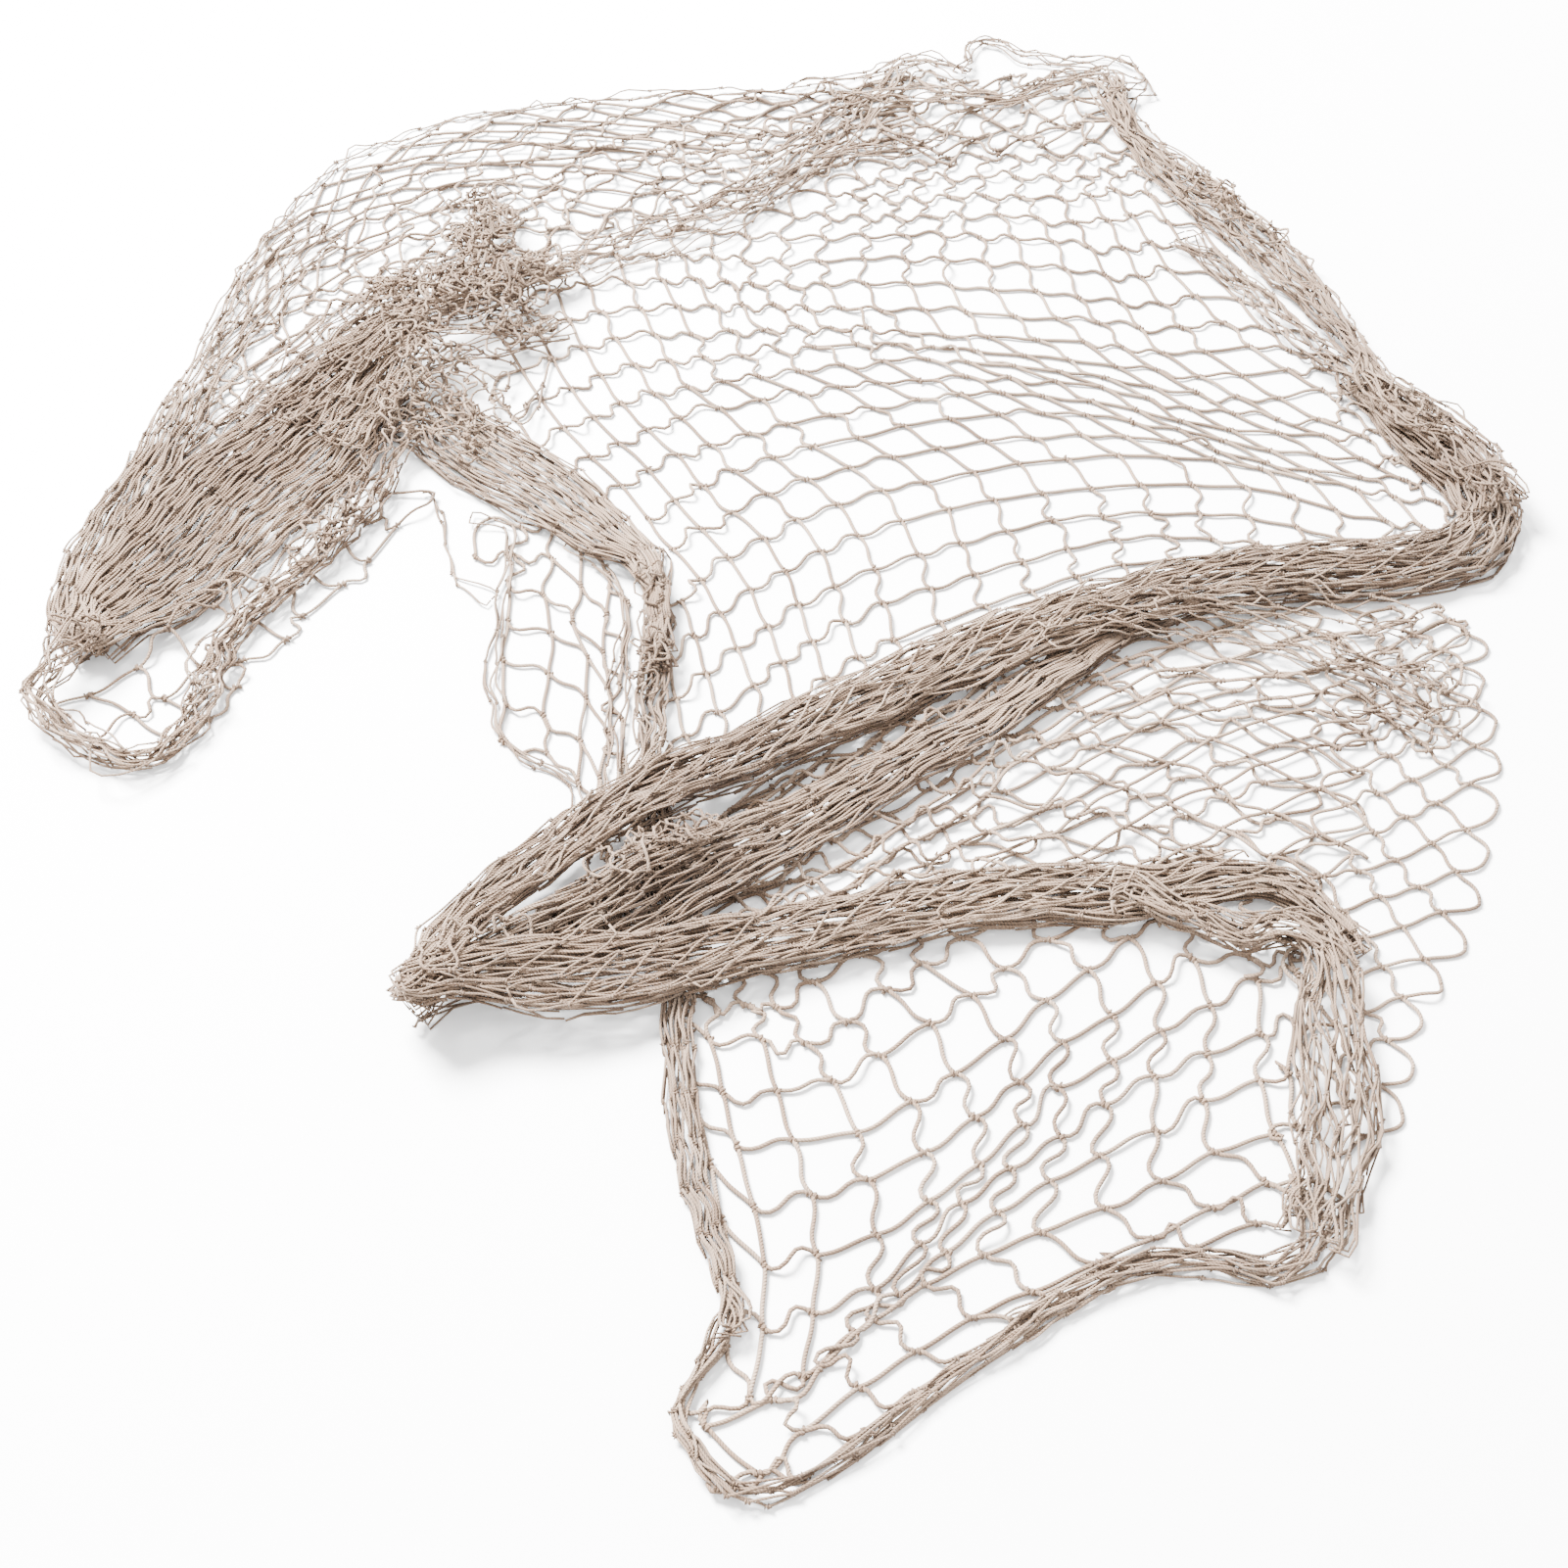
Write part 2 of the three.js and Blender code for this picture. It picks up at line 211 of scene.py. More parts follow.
def laid(net, radius=TWINE / 2, plain=False):
    """The net let down onto what already lies there, and then counted as part of the pile."""
    net["radius"], net["plain"] = radius, plain
    flat, ends = net["flat"], net["ends"]
    column, row = cells(flat)
    under = np.max([pile[column + i, row + j] for i in (-2, 0, 2) for j in (-2, 0, 2)], axis=0)
    share = np.linspace(0, 1, flat.shape[1])[None]
    lift = net["lifts"][ends[:, 0]][:, None] * (1 - share) + net["lifts"][ends[:, 1]][:, None] * share
    floor = np.maximum(under + radius, lift)
    knot_radius = 1.7 * radius
    knot_floor = np.full(len(net["axes"]), knot_radius)
    np.maximum.at(knot_floor, ends[:, 0], floor[:, 0])
    np.maximum.at(knot_floor, ends[:, 1], floor[:, -1])
    height = floor.copy()
    knot_height = knot_floor.copy()
    meeting = np.bincount(ends.ravel())
    sag = 0.03
    for _ in range(60):  # taut between the places that hold it up, and sagging a little
        height[:, 0], height[:, -1] = knot_height[ends[:, 0]], knot_height[ends[:, 1]]
        height[:, 1:-1] = np.maximum(floor[:, 1:-1], (height[:, :-2] + height[:, 2:]) / 2 - sag)
        next_to = knot_sums(len(meeting), ends, height[:, 1], height[:, -2]) / meeting
        knot_height = np.maximum(knot_floor, next_to - sag)
    height = height + net["hops"][:, None] * np.sin(np.pi * share) ** 2
    net["points"] = np.concatenate([flat, height[..., None]], axis=2)
    pressed(net["points"], radius)
    return net


def pressed(points, radius):
    """Raises the pile wherever these lines of twine now lie."""
    spacing = 0.7  # between the points pressed
    close = max(int(math.ceil(BAR / (points.shape[1] - 1) / spacing)), 1)
    share = np.arange(close)[None, None, :, None] / close
    dense = points[:, :-1, None] * (1 - share) + points[:, 1:, None] * share
    dense = dense.reshape(-1, 3)
    column, row = cells(dense[:, :2])
    for i in range(-2, 3):
        for j in range(-2, 3):
            off = PILE_CELL * math.hypot(i, j)
            if off < radius:
                top = dense[:, 2] + math.sqrt(radius * radius - off * off)
                np.maximum.at(pile, (column + i, row + j), top)


def tubes(paths, normals, radii, sides):
    """Round tubes with closed ends along many paths of one length, as vertices, faces and UVs."""
    many, stations = paths.shape[:2]
    tangent = np.gradient(paths, axis=1)
    across = np.cross(tangent, normals)
    across /= np.maximum(np.linalg.norm(across, axis=2, keepdims=True), TINY)
    over = np.cross(across, tangent)
    over /= np.maximum(np.linalg.norm(over, axis=2, keepdims=True), TINY)
    angle = 2 * np.pi * np.arange(sides) / sides
    radii = np.broadcast_to(radii, (many, stations))[..., None, None]
    ring = np.cos(angle)[:, None] * across[:, :, None] + np.sin(angle)[:, None] * over[:, :, None]
    vertices = (paths[:, :, None] + radii * ring).reshape(-1, 3)
    number = np.arange(many * stations * sides).reshape(many, stations, sides)
    around = np.roll(number, -1, axis=2)
    quads = np.stack([number[:, :-1], around[:, :-1], around[:, 1:], number[:, 1:]], axis=-1)
    length = np.linalg.norm(np.diff(paths, axis=1), axis=2).cumsum(axis=1)
    length = np.concatenate([np.zeros((many, 1)), length], axis=1)
    length = length + chance.uniform(0, 100, (many, 1))  # each starts elsewhere in its twist
    u = np.stack([length[:, :-1], length[:, :-1], length[:, 1:], length[:, 1:]], axis=-1)
    turn = np.arange(sides) / sides
    v = np.stack([turn, turn + 1 / sides, turn + 1 / sides, turn], axis=-1)
    u = np.broadcast_to(u[:, :, None], quads.shape)
    v = np.broadcast_to(v[None, None], quads.shape)
    caps = np.concatenate([number[:, 0, ::-1], number[:, -1]])
    cap_uv = np.stack([np.repeat(np.concatenate([length[:, 0], length[:, -1]])[:, None], sides, 1),
                       np.broadcast_to(turn, (2 * many, sides))], axis=-1)
    return {"vertices": vertices, "quads": quads.reshape(-1, 4), "caps": caps,
            "quad_uv": np.stack([u, v], axis=-1).reshape(-1, 4, 2), "cap_uv": cap_uv}


def knot_coils(net, coil_steps, offset):
    """A short coil of twine round each knot, along the knot's axis."""
    solid, ends, points = ~net["tips"], net["ends"], net["points"]
    meeting = np.bincount(ends.ravel())
    centre = knot_sums(len(meeting), ends, points[:, 0], points[:, -1]) / meeting[:, None]
    centre, axis = centre[solid], net["axes"][solid]
    askew, turns, coil_length = 0.3, 2.2, 4.4  # the last in twine radii
    axis = np.hstack([turned(axis, chance.normal(0, askew, len(axis))), np.zeros((len(axis), 1))])
    side = np.stack([-axis[:, 1], axis[:, 0], np.zeros(len(axis))], axis=1)
    t = np.linspace(0, 1, coil_steps + 1)[None, :, None]
    turn = 2 * np.pi * turns * t + chance.uniform(0, 2 * np.pi, (len(axis), 1, 1))
    size = net["radius"] * chance.uniform(0.85, 1.15, (len(axis), 1, 1))  # some are tied tighter
    outward = np.cos(turn) * side[:, None] + np.sin(turn) * UP
    path = centre[:, None] + axis[:, None] * (t - 0.5) * coil_length * size + outward * offset * size
    path[..., 2] = np.maximum(path[..., 2], 0.8 * net["radius"])  # none goes into the floor
    return path, outward


def cotton(name):
    """Dull natural cotton: plied twine with painted shade in the grooves between its plies and bumps that
    catch the light ply by ply, with grey-brown soil.
    """
    soiled, clean = (0.073, 0.0475, 0.0318, 1), (0.132, 0.0915, 0.0640, 1)
    # The ply grooves are darkened: painted shade between the plies. The crown colour leaves the rest
    # unchanged.
    painted_groove_shade, crown = (0.74, 0.71, 0.68, 1), (1, 1, 1, 1)
    lay = 4.5  # millimetres of twine for one whole turn of its plies
    plies = 3
    relief = 0.0004
    material = bpy.data.materials.new(name)
    material.use_nodes = True
    nodes, links = material.node_tree.nodes, material.node_tree.links

    def wired(made, inputs):
        for socket, value in inputs.items():
            if isinstance(value, bpy.types.NodeSocket):
                links.new(value, made.inputs[socket])
            else:
                made.inputs[socket].default_value = value
        return made.outputs

    def node(kind, inputs, **settings):
        made = nodes.new("ShaderNode" + kind)
        for setting, value in settings.items():
            setattr(made, setting, value)
        return wired(made, inputs)

    def maths(kind, *values):
        return node("Math", dict(enumerate(values)), operation=kind)["Value"]

    def ramp(amount, *stops):
        made = nodes.new("ShaderNodeValToRGB")
        for stop, (position, colour) in zip(made.color_ramp.elements, stops):
            stop.position, stop.color = position, colour
        return wired(made, {"Fac": amount})["Color"]

    parts = node("SeparateXYZ", {"Vector": node("UVMap", {}, uv_map="twist")["UV"]})
    phase = maths("ADD", maths("MULTIPLY", parts["X"], 1 / lay), parts["Y"])
    ply = maths("SINE", maths("MULTIPLY", phase, plies * 2 * math.pi))
    ply = maths("ADD", maths("MULTIPLY", ply, 0.5), 0.5)
    place = node("TexCoord", {})["Object"]
    soil_and_painted_shade = node("TexNoise", {"Vector": place, "Scale": 14, "Detail": 3})["Fac"]
    fibre = node("TexNoise", {"Vector": place, "Scale": 900, "Detail": 2})["Fac"]
    twine = node("Mix", {"Factor": 1.0, "A": ramp(soil_and_painted_shade, (0.3, soiled), (0.7, clean)),
                         "B": ramp(ply, (0.0, painted_groove_shade), (0.6, crown))},
                 data_type="RGBA", blend_type="MULTIPLY")["Result"]
    # The tone attribute multiplies the random mottle of each bar with the painted shade of covered shells
    # and knots; lower tones turn browner.
    mottle_and_painted_shade = node("Attribute", {}, attribute_name="tone")["Fac"]
    browner = {axis: maths("POWER", mottle_and_painted_shade, strength) for axis, strength in zip("XYZ", (1, 1.25, 1.5))}
    toned = node("VectorMath", {0: twine, 1: node("CombineXYZ", browner)["Vector"]},
                 operation="MULTIPLY")["Vector"]
    height = maths("ADD", ply, maths("MULTIPLY", fibre, 0.6))
    bump = node("Bump", {"Strength": 0.6, "Distance": relief, "Height": height})["Normal"]
    wired(nodes["Principled BSDF"], {
        "Roughness": 0.92, "Specular IOR Level": 0.12, "Sheen Weight": 0.04, "Sheen Roughness": 0.6,
        "Base Color": toned, "Normal": bump})
    return material


cotton_twine = cotton("natural cotton twine")
COVERED_PAINTED_SHADE = 0.8  # painted shade: covered shells are darkened as if shaded by the folds over them


def twine_piece(name, nets, held="gathered"):
    """One mesh of all the bars and knots of these nets, attached to the root body, with the net part hidden.
    """
    # The knot coils are darkened: painted shade between their wraps.
    if held == "laid":
        bar_sides, twine_tone, knot_painted_shade, drawn_open = 5, 1.0, 0.78, 0.6
        coil_steps, coil_sides, offset, wrap = 8, 4, 1.05, 0.9
    else:
        bar_sides, twine_tone, knot_painted_shade, drawn_open = 4, 0.97, 0.76, 0.45
        coil_steps, coil_sides, offset, wrap = 6, 3, 1.5, 1.1
    made, tones, knots = [], [], 0
    for net in nets:
        # covered shells get painted shade, standing in for the shadow of the folds above
        sides, tone = (3, COVERED_PAINTED_SHADE) if net["plain"] else (bar_sides, twine_tone)
        made.append(tubes(net["points"], UP, net["radius"], sides))
        tones.append(tone * net["tones"].repeat(net["points"].shape[1] * sides))
        knots += (~net["tips"]).sum()
        if net["plain"]:
            continue
        path, outward = knot_coils(net, coil_steps, offset)
        thickness = wrap * net["radius"] * np.ones(coil_steps + 1)
        thickness[[0, -1]] *= 0.5  # the ends of a coil slip into the knot
        made.append(tubes(path, outward, thickness, coil_sides))
        tones.append(np.full(path.shape[0] * path.shape[1] * coil_sides, knot_painted_shade))
    vertices = np.concatenate([part["vertices"] for part in made])
    vertices[:, :2] -= LAYOUT_MIDDLE
    first, faces, corners = 0, [], []
    for part in made:
        for kind, uv in (("quads", "quad_uv"), ("caps", "cap_uv")):
            faces.extend((part[kind] + first).tolist())
            corners.append(part[uv].reshape(-1, 2))
        first += len(part["vertices"])
    mesh = bpy.data.meshes.new(name)
    mesh.from_pydata((vertices / 1000).tolist(), [], faces)
    twist = mesh.uv_layers.new(name="twist")
    twist.data.foreach_set("uv", np.concatenate(corners).ravel())
    # Per-vertex tone: random mottle, and painted shade on covered shells and knots.
    soil_and_painted_shade = mesh.attributes.new("tone", "FLOAT", "POINT")
    soil_and_painted_shade.data.foreach_set("value", np.concatenate(tones))
    mesh.polygons.foreach_set("use_smooth", np.ones(len(mesh.polygons), bool))
    mesh.materials.append(cotton_twine)
    mesh.update()
    piece = bpy.data.objects.new(name, mesh)
    bpy.context.scene.collection.objects.link(piece)
    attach(piece, "root")
    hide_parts("net")


def spread(first, second, table, outline=None, square=False):
    """Places read from a table of knots, with a line for each station of the second count.

    The counts are u and v, or with square the columns and rows of twine, which cross them."""
    table = np.array(table, float)

    def place(u, v):
        a, b = ((u + v) / 2, (u - v) / 2) if square else (u, v)
        lines = through(first, np.swapaxes(table, 0, 1), a)
        at = np.zeros((len(u), 2))
        for value in np.unique(b):
            at[b == value] = through(second, np.swapaxes(lines[b == value], 0, 1),
                                     np.array([value]))[0]
        kept = (a >= first[0]) & (a <= first[-1]) & (b >= second[0]) & (b <= second[-1])
        if outline is not None:
            kept &= inside(at, outline)
        return at, np.zeros(len(u)), kept

    if square:
        return (np.arange(first[0] + second[0], first[-1] + second[-1] + 1),
                np.arange(first[0] - second[-1], first[-1] - second[0] + 1), place)
    return np.arange(first[0], first[-1] + 1), np.arange(second[0], second[-1] + 1), place


FRONT_COLUMNS = range(-2, 11)
FRONT_ROWS = range(-2, 10)
FRONT_KNOTS = [
    [(-50, -100), (-36, -104), (-20, -104), (-14, -104), (3, -92), (24, -80), (42, -76), (62, -64),
     (86, -58), (110, -54), (134, -50), (160, -48), (186, -40)],
    [(-46, -120), (-33, -118), (-16, -122), (-3, -123), (13, -110), (33, -96), (50, -84), (68, -72),
     (92, -66), (118, -62), (142, -58), (168, -56), (194, -50)],
    [(-43, -132), (-31, -138), (-9, -139), (9, -141), (27, -130), (43, -114), (58, -100), (76, -87),
     (98, -76), (124, -68), (150, -62), (176, -66), (200, -64)],
    [(-41, -143), (-25, -165), (-3, -164), (20, -159), (40, -147), (61, -131), (79, -117), (93, -103),
     (113, -88), (136, -76), (160, -72), (186, -78), (206, -78)],
    [(-36, -172), (-19, -190), (3, -188), (30, -185), (52, -169), (70, -156), (91, -139), (109, -120),
     (129, -103), (147, -87), (168, -80), (192, -86), (212, -90)],
    [(-29, -198), (-12, -217), (11, -213), (33, -207), (57, -193), (77, -177), (96, -160), (114, -141),
     (137, -127), (157, -110), (173, -98), (197, -97), (214, -96)],
    [(-24, -228), (-7, -247), (13, -240), (36, -231), (57, -216), (78, -199), (96, -180), (111, -163),
     (134, -150), (157, -134), (178, -122), (199, -109), (216, -104)],
    [(-17, -251), (-8, -272), (11, -265), (35, -255), (53, -235), (70, -217), (90, -201), (111, -186),
     (130, -171), (151, -157), (174, -146), (197, -136), (212, -130)],
    [(-21, -284), (-13, -300), (7, -292), (27, -273), (44, -257), (63, -239), (84, -221), (105, -207),
     (126, -195), (150, -183), (170, -169), (194, -159), (206, -156)],
    [(-40, -304), (-30, -312), (-4, -301), (13, -289), (33, -268), (56, -252), (78, -240), (100, -230),
     (126, -219), (149, -207), (172, -193), (197, -180), (206, -182)],
    [(-30, -327), (-9, -331), (7, -314), (27, -297), (49, -282), (71, -267), (96, -256), (120, -244),
     (146, -232), (168, -219), (192, -207), (207, -215), (214, -210)],
    [(-14, -336), (0, -338), (30, -314), (50, -296), (75, -281), (97, -266), (114, -257), (134, -244),
     (160, -237), (185, -226), (204, -220), (212, -222), (220, -222)],
]
front = laid(netting(*spread(FRONT_COLUMNS, FRONT_ROWS, FRONT_KNOTS, square=True), length=27.5),
             radius=FRONT_TWINE / 2)
twine_piece("front_netting", [front], held="laid")


# Middle panel, the widest open sheet of the cotton netting. Its rows of meshes run across the net
# and swing down to the right, where the slack draws them into long thin meshes.

MIDDLE_COLUMNS = [-1, 2, 5, 8, 11, 14, 17, 20, 21, 23]
MIDDLE_ROWS = [-7, -5, -3, -1, 1, 3, 4, 5, 6, 7, 8, 9, 10, 11, 12, 14]
MIDDLE_KNOTS = [
    [(-200, 465), (-130, 465), (-80, 462), (-44, 460), (10, 455), (58, 452), (110, 456), (165, 458),
     (180, 458), (210, 460)],
    [(-240, 395), (-185, 415), (-122, 430), (-52, 432), (8, 425), (56, 420), (110, 422), (170, 421),
     (184, 427), (218, 420)],
    [(-225, 350), (-172, 372), (-116, 392), (-60, 392), (0, 385), (65, 387), (126, 385), (183, 377),
     (197, 381), (238, 366)],
    [(-205, 300), (-158, 328), (-103, 345), (-46, 350), (1, 345), (66, 347), (134, 339), (199, 331),
     (218, 336), (264, 324)],
    [(-178, 250), (-138, 283), (-87, 302), (-28, 308), (25, 312), (84, 305), (155, 299), (218, 292),
     (242, 295), (280, 288)],
    [(-150, 196), (-112, 228), (-66, 260), (-13, 272), (51, 285), (118, 281), (188, 266), (251, 257),
     (276, 262), (298, 262)],
    [(-136, 172), (-94, 206), (-52, 241), (9, 259), (70, 270), (140, 270), (208, 247), (271, 239),
     (286, 247), (306, 248)],
    [(-122, 150), (-76, 188), (-37, 220), (24, 242), (90, 258), (154, 255), (226, 231), (291, 228),
     (300, 230), (318, 232)],
    [(-104, 130), (-66, 166), (-25, 203), (36, 227), (109, 244), (175, 239), (243, 217), (303, 212),
     (312, 212), (328, 216)],
    [(-86, 110), (-56, 150), (-9, 185), (55, 212), (124, 227), (194, 223), (263, 201), (323, 193),
     (332, 192), (340, 196)],
    [(-68, 90), (-38, 127), (6, 169), (70, 194), (142, 210), (215, 210), (283, 187), (332, 178), (338, 178),
     (345, 180)],
    [(-64, 62), (-29, 103), (18, 144), (77, 175), (152, 190), (227, 191), (293, 166), (338, 162), (343, 163),
     (350, 165)],
    [(-62, 36), (-22, 81), (24, 121), (86, 152), (155, 170), (227, 169), (292, 147), (340, 150), (345, 150),
     (352, 150)],
    [(-60, 10), (-14, 55), (29, 99), (91, 129), (161, 154), (230, 150), (294, 132), (342, 140), (347, 140),
     (354, 140)],
    [(-56, -12), (-9, 35), (34, 75), (91, 107), (168, 138), (234, 134), (296, 120), (344, 130), (349, 130),
     (356, 130)],
    [(-40, -60), (0, -10), (40, 35), (96, 66), (172, 96), (238, 100), (298, 100), (344, 110), (350, 110),
     (356, 110)],
]
MIDDLE_OUTLINE = [
    (-62, -12), (-62, 120), (-70, 160), (-130, 205), (-165, 260), (-160, 330), (-100, 380), (-30, 404),
    (20, 440), (80, 474), (178, 500), (200, 470), (232, 412), (254, 372), (274, 328), (292, 285), (306, 245),
    (328, 205), (345, 165), (335, 138), (275, 128), (205, 118), (130, 92), (60, 46), (-10, 5),
]
middle = laid(netting(*spread(MIDDLE_COLUMNS, MIDDLE_ROWS, MIDDLE_KNOTS, MIDDLE_OUTLINE, square=True),
                      length=25.2, stray=0.6))
twine_piece("middle_netting", [middle], held="laid")


# Right panel. Two loose layers of the netting fan out from the gathered end to the right edge,
# where the last meshes end in round loops.

RIGHT_ALONG = range(-3, 16, 3)
RIGHT_ACROSS = [0, 8, 12, 16]
RIGHT_LOWER = [
    [(-120, -106), (-60, -95), (0, -76), (60, -62), (120, -60), (178, -58), (232, -64)],
    [(-114, -94), (-50, -60), (5, -32), (65, -4), (122, 16), (180, 24), (240, 22)],
    [(-110, -84), (-45, -42), (10, -10), (70, 28), (126, 54), (186, 66), (250, 62)],
    [(-106, -74), (-40, -25), (16, 18), (76, 60), (132, 88), (192, 106), (262, 112)],
]
RIGHT_UPPER = [
    [(-116, -104), (-52, -92), (8, -76), (68, -60), (128, -58), (190, -60), (252, -60)],
    [(-110, -92), (-42, -56), (14, -24), (74, 8), (130, 34), (196, 46), (268, 36)],
    [(-108, -84), (-40, -44), (18, -6), (80, 36), (138, 66), (204, 76), (276, 62)],
    [(-104, -72), (-34, -22), (24, 22), (84, 66), (140, 92), (208, 108), (282, 110)],
]
right_lower = laid(netting(*spread(RIGHT_ALONG, RIGHT_ACROSS, RIGHT_LOWER), length=26.5, stray=2.4,
                           untidy=1.5, frayed=False))
right_upper = laid(netting(*spread(RIGHT_ALONG, RIGHT_ACROSS, RIGHT_UPPER), length=27, stray=3.0,
                           untidy=1.6, frayed=False))


def shifted(table, right, up):
    """The same knots moved a little, for a second layer."""
    return [[(x + right, y + up) for x, y in line] for line in table]


EDGE_INWARD = range(0, 7, 3)
EDGE_DOWN = 3.3 * np.arange(9)
EDGE_KNOTS = [
    [(266, 100), (304, 101), (338, 101)],
    [(250, 72), (286, 66), (324, 68)],
    [(252, 35), (288, 28), (324, 26)],
    [(240, 0), (278, -8), (316, -16)],
    [(228, -36), (266, -46), (304, -56)],
    [(212, -68), (249, -82), (286, -96)],
    [(196, -104), (232, -118), (265, -131)],
    [(184, -140), (222, -155), (254, -166)],
    [(168, -180), (208, -195), (238, -206)],
]
EDGE_OUTLINE = [
    (262, 110), (232, 40), (225, -30), (210, -70), (212, -215), (250, -215), (300, -110), (360, 60),
    (350, 115),
]
UPPER_OUTLINE = [(262, 110), (232, 40), (228, 12), (345, 12), (360, 60), (350, 115)]
edge_lower = laid(netting(*spread(EDGE_INWARD, EDGE_DOWN, EDGE_KNOTS, EDGE_OUTLINE), length=20,
                          stray=0.8, frayed=False))
edge_upper = laid(netting(*spread(EDGE_INWARD, EDGE_DOWN, shifted(EDGE_KNOTS, -7, 6), UPPER_OUTLINE),
                          length=21, stray=2.0, untidy=1.2, frayed=False))
twine_piece("right_netting", [right_lower, right_upper, edge_lower, edge_upper], held="laid")


# Small panel on the left of the middle one. It hangs from the dropped fold as a narrow strip of
# the open netting.

SMALL_COLUMNS = range(-1, 5)
SMALL_ROWS = range(7)
SMALL_KNOTS = [
    [(-146, 168), (-128, 162), (-116, 166), (-98, 148), (-84, 130), (-74, 112)],
    [(-149, 140), (-130, 143), (-112, 141), (-97, 121), (-84, 104), (-75, 84)],
    [(-150, 118), (-132, 126), (-115, 119), (-101, 101), (-84, 78), (-76, 58)],
    [(-150, 95), (-130, 98), (-109, 91), (-91, 77), (-80, 56), (-74, 40)],
    [(-150, 72), (-131, 76), (-109, 65), (-91, 50), (-79, 27), (-72, 10)],
    [(-150, 45), (-128, 47), (-110, 38), (-93, 24), (-83, 0), (-74, -16)],
    [(-150, 20), (-128, 24), (-107, 17), (-92, -1), (-84, -24), (-76, -40)],
]
SMALL_OUTLINE = [
    (-180, 185), (-175, 130), (-140, 122), (-137, 100), (-137, 10), (-100, -30), (-70, -45), (-65, 100),
    (-75, 150), (-100, 190),
]
small = laid(netting(*spread(SMALL_COLUMNS, SMALL_ROWS, SMALL_KNOTS, SMALL_OUTLINE, square=True)))
twine_piece("small_netting", [small], held="laid")


# Back band. Two layers of the netting climb the left side and bend along the back, with their
# meshes drawn out along the bend, and two loose ones lie at the top.

BACK_TWINE = 1.7  # pulled a little tighter
BACK_ALONG = 2.4 * np.arange(12)
BACK_ACROSS = range(0, 13, 4)
BACK_LOWER = [
    [(-330, 150), (-318, 210), (-304, 265), (-293, 322), (-282, 378), (-258, 430), (-214, 474), (-150, 498),
     (-90, 508), (-30, 512), (25, 522), (66, 540)],
    [(-305, 165), (-290, 214), (-274, 264), (-258, 316), (-242, 362), (-216, 404), (-180, 436), (-126, 458),
     (-74, 468), (-22, 474), (26, 494), (70, 510)],
    [(-282, 178), (-262, 220), (-242, 262), (-222, 308), (-200, 344), (-174, 374), (-144, 396), (-102, 416),
     (-58, 430), (-14, 440), (28, 468), (74, 484)],
    [(-262, 190), (-238, 225), (-215, 262), (-190, 302), (-166, 328), (-142, 346), (-116, 356), (-82, 376),
     (-46, 394), (-8, 412), (30, 448), (78, 462)],
]
BACK_UPPER = [
    [(-326, 160), (-314, 218), (-301, 272), (-290, 330), (-278, 388), (-248, 440), (-200, 480), (-140, 502),
     (-80, 510), (-22, 514), (30, 524), (72, 544)],
    [(-300, 172), (-284, 222), (-268, 272), (-252, 324), (-234, 374), (-204, 420), (-160, 452), (-108, 468),
     (-58, 474), (-8, 476), (36, 500), (76, 514)],
    [(-276, 186), (-256, 228), (-236, 270), (-214, 316), (-190, 360), (-162, 396), (-128, 426), (-86, 446),
     (-44, 456), (0, 462), (40, 484), (82, 496)],
    [(-256, 196), (-232, 232), (-208, 268), (-182, 306), (-158, 334), (-134, 350), (-108, 360), (-74, 380),
     (-38, 398), (0, 420), (38, 452), (88, 464)],
]
back_lower = laid(netting(*spread(BACK_ALONG, BACK_ACROSS, BACK_LOWER), length=28.5, stray=1.6),
                  radius=BACK_TWINE / 2)
back_upper = laid(netting(*spread(BACK_ALONG, BACK_ACROSS, BACK_UPPER), length=29.5, stray=2.2,
                          untidy=1.2), radius=BACK_TWINE / 2)
TOP_ALONG = range(0, 9, 2)
TOP_ACROSS = range(0, 7, 2)
TOP_KNOTS = [
    [(52, 452), (88, 452), (122, 456), (156, 462), (192, 462)],
    [(56, 478), (90, 482), (124, 484), (158, 486), (190, 486)],
    [(60, 506), (94, 510), (126, 508), (160, 512), (190, 510)],
    [(72, 532), (104, 528), (132, 532), (164, 536), (196, 528)],
]
TOP_MOVED = shifted(TOP_KNOTS[:3], -6, 4) + TOP_KNOTS[3:]
top_lower = laid(netting(*spread(TOP_ALONG, TOP_ACROSS, TOP_KNOTS), stray=3.0, untidy=1.6))
top_upper = laid(netting(*spread(TOP_ALONG, TOP_ACROSS, TOP_MOVED), stray=5.0, untidy=1.8))
twine_piece("back_netting", [back_lower, back_upper, top_lower, top_upper], held="laid")


# Hems of the front panel, and the cord and doubled edge of the small panel. Nothing is sewn on:
# a few of the net's own twines are drawn together into narrow folds.

GATHERED_RADIUS = 0.57  # twine pulled tight in a fold is thinner


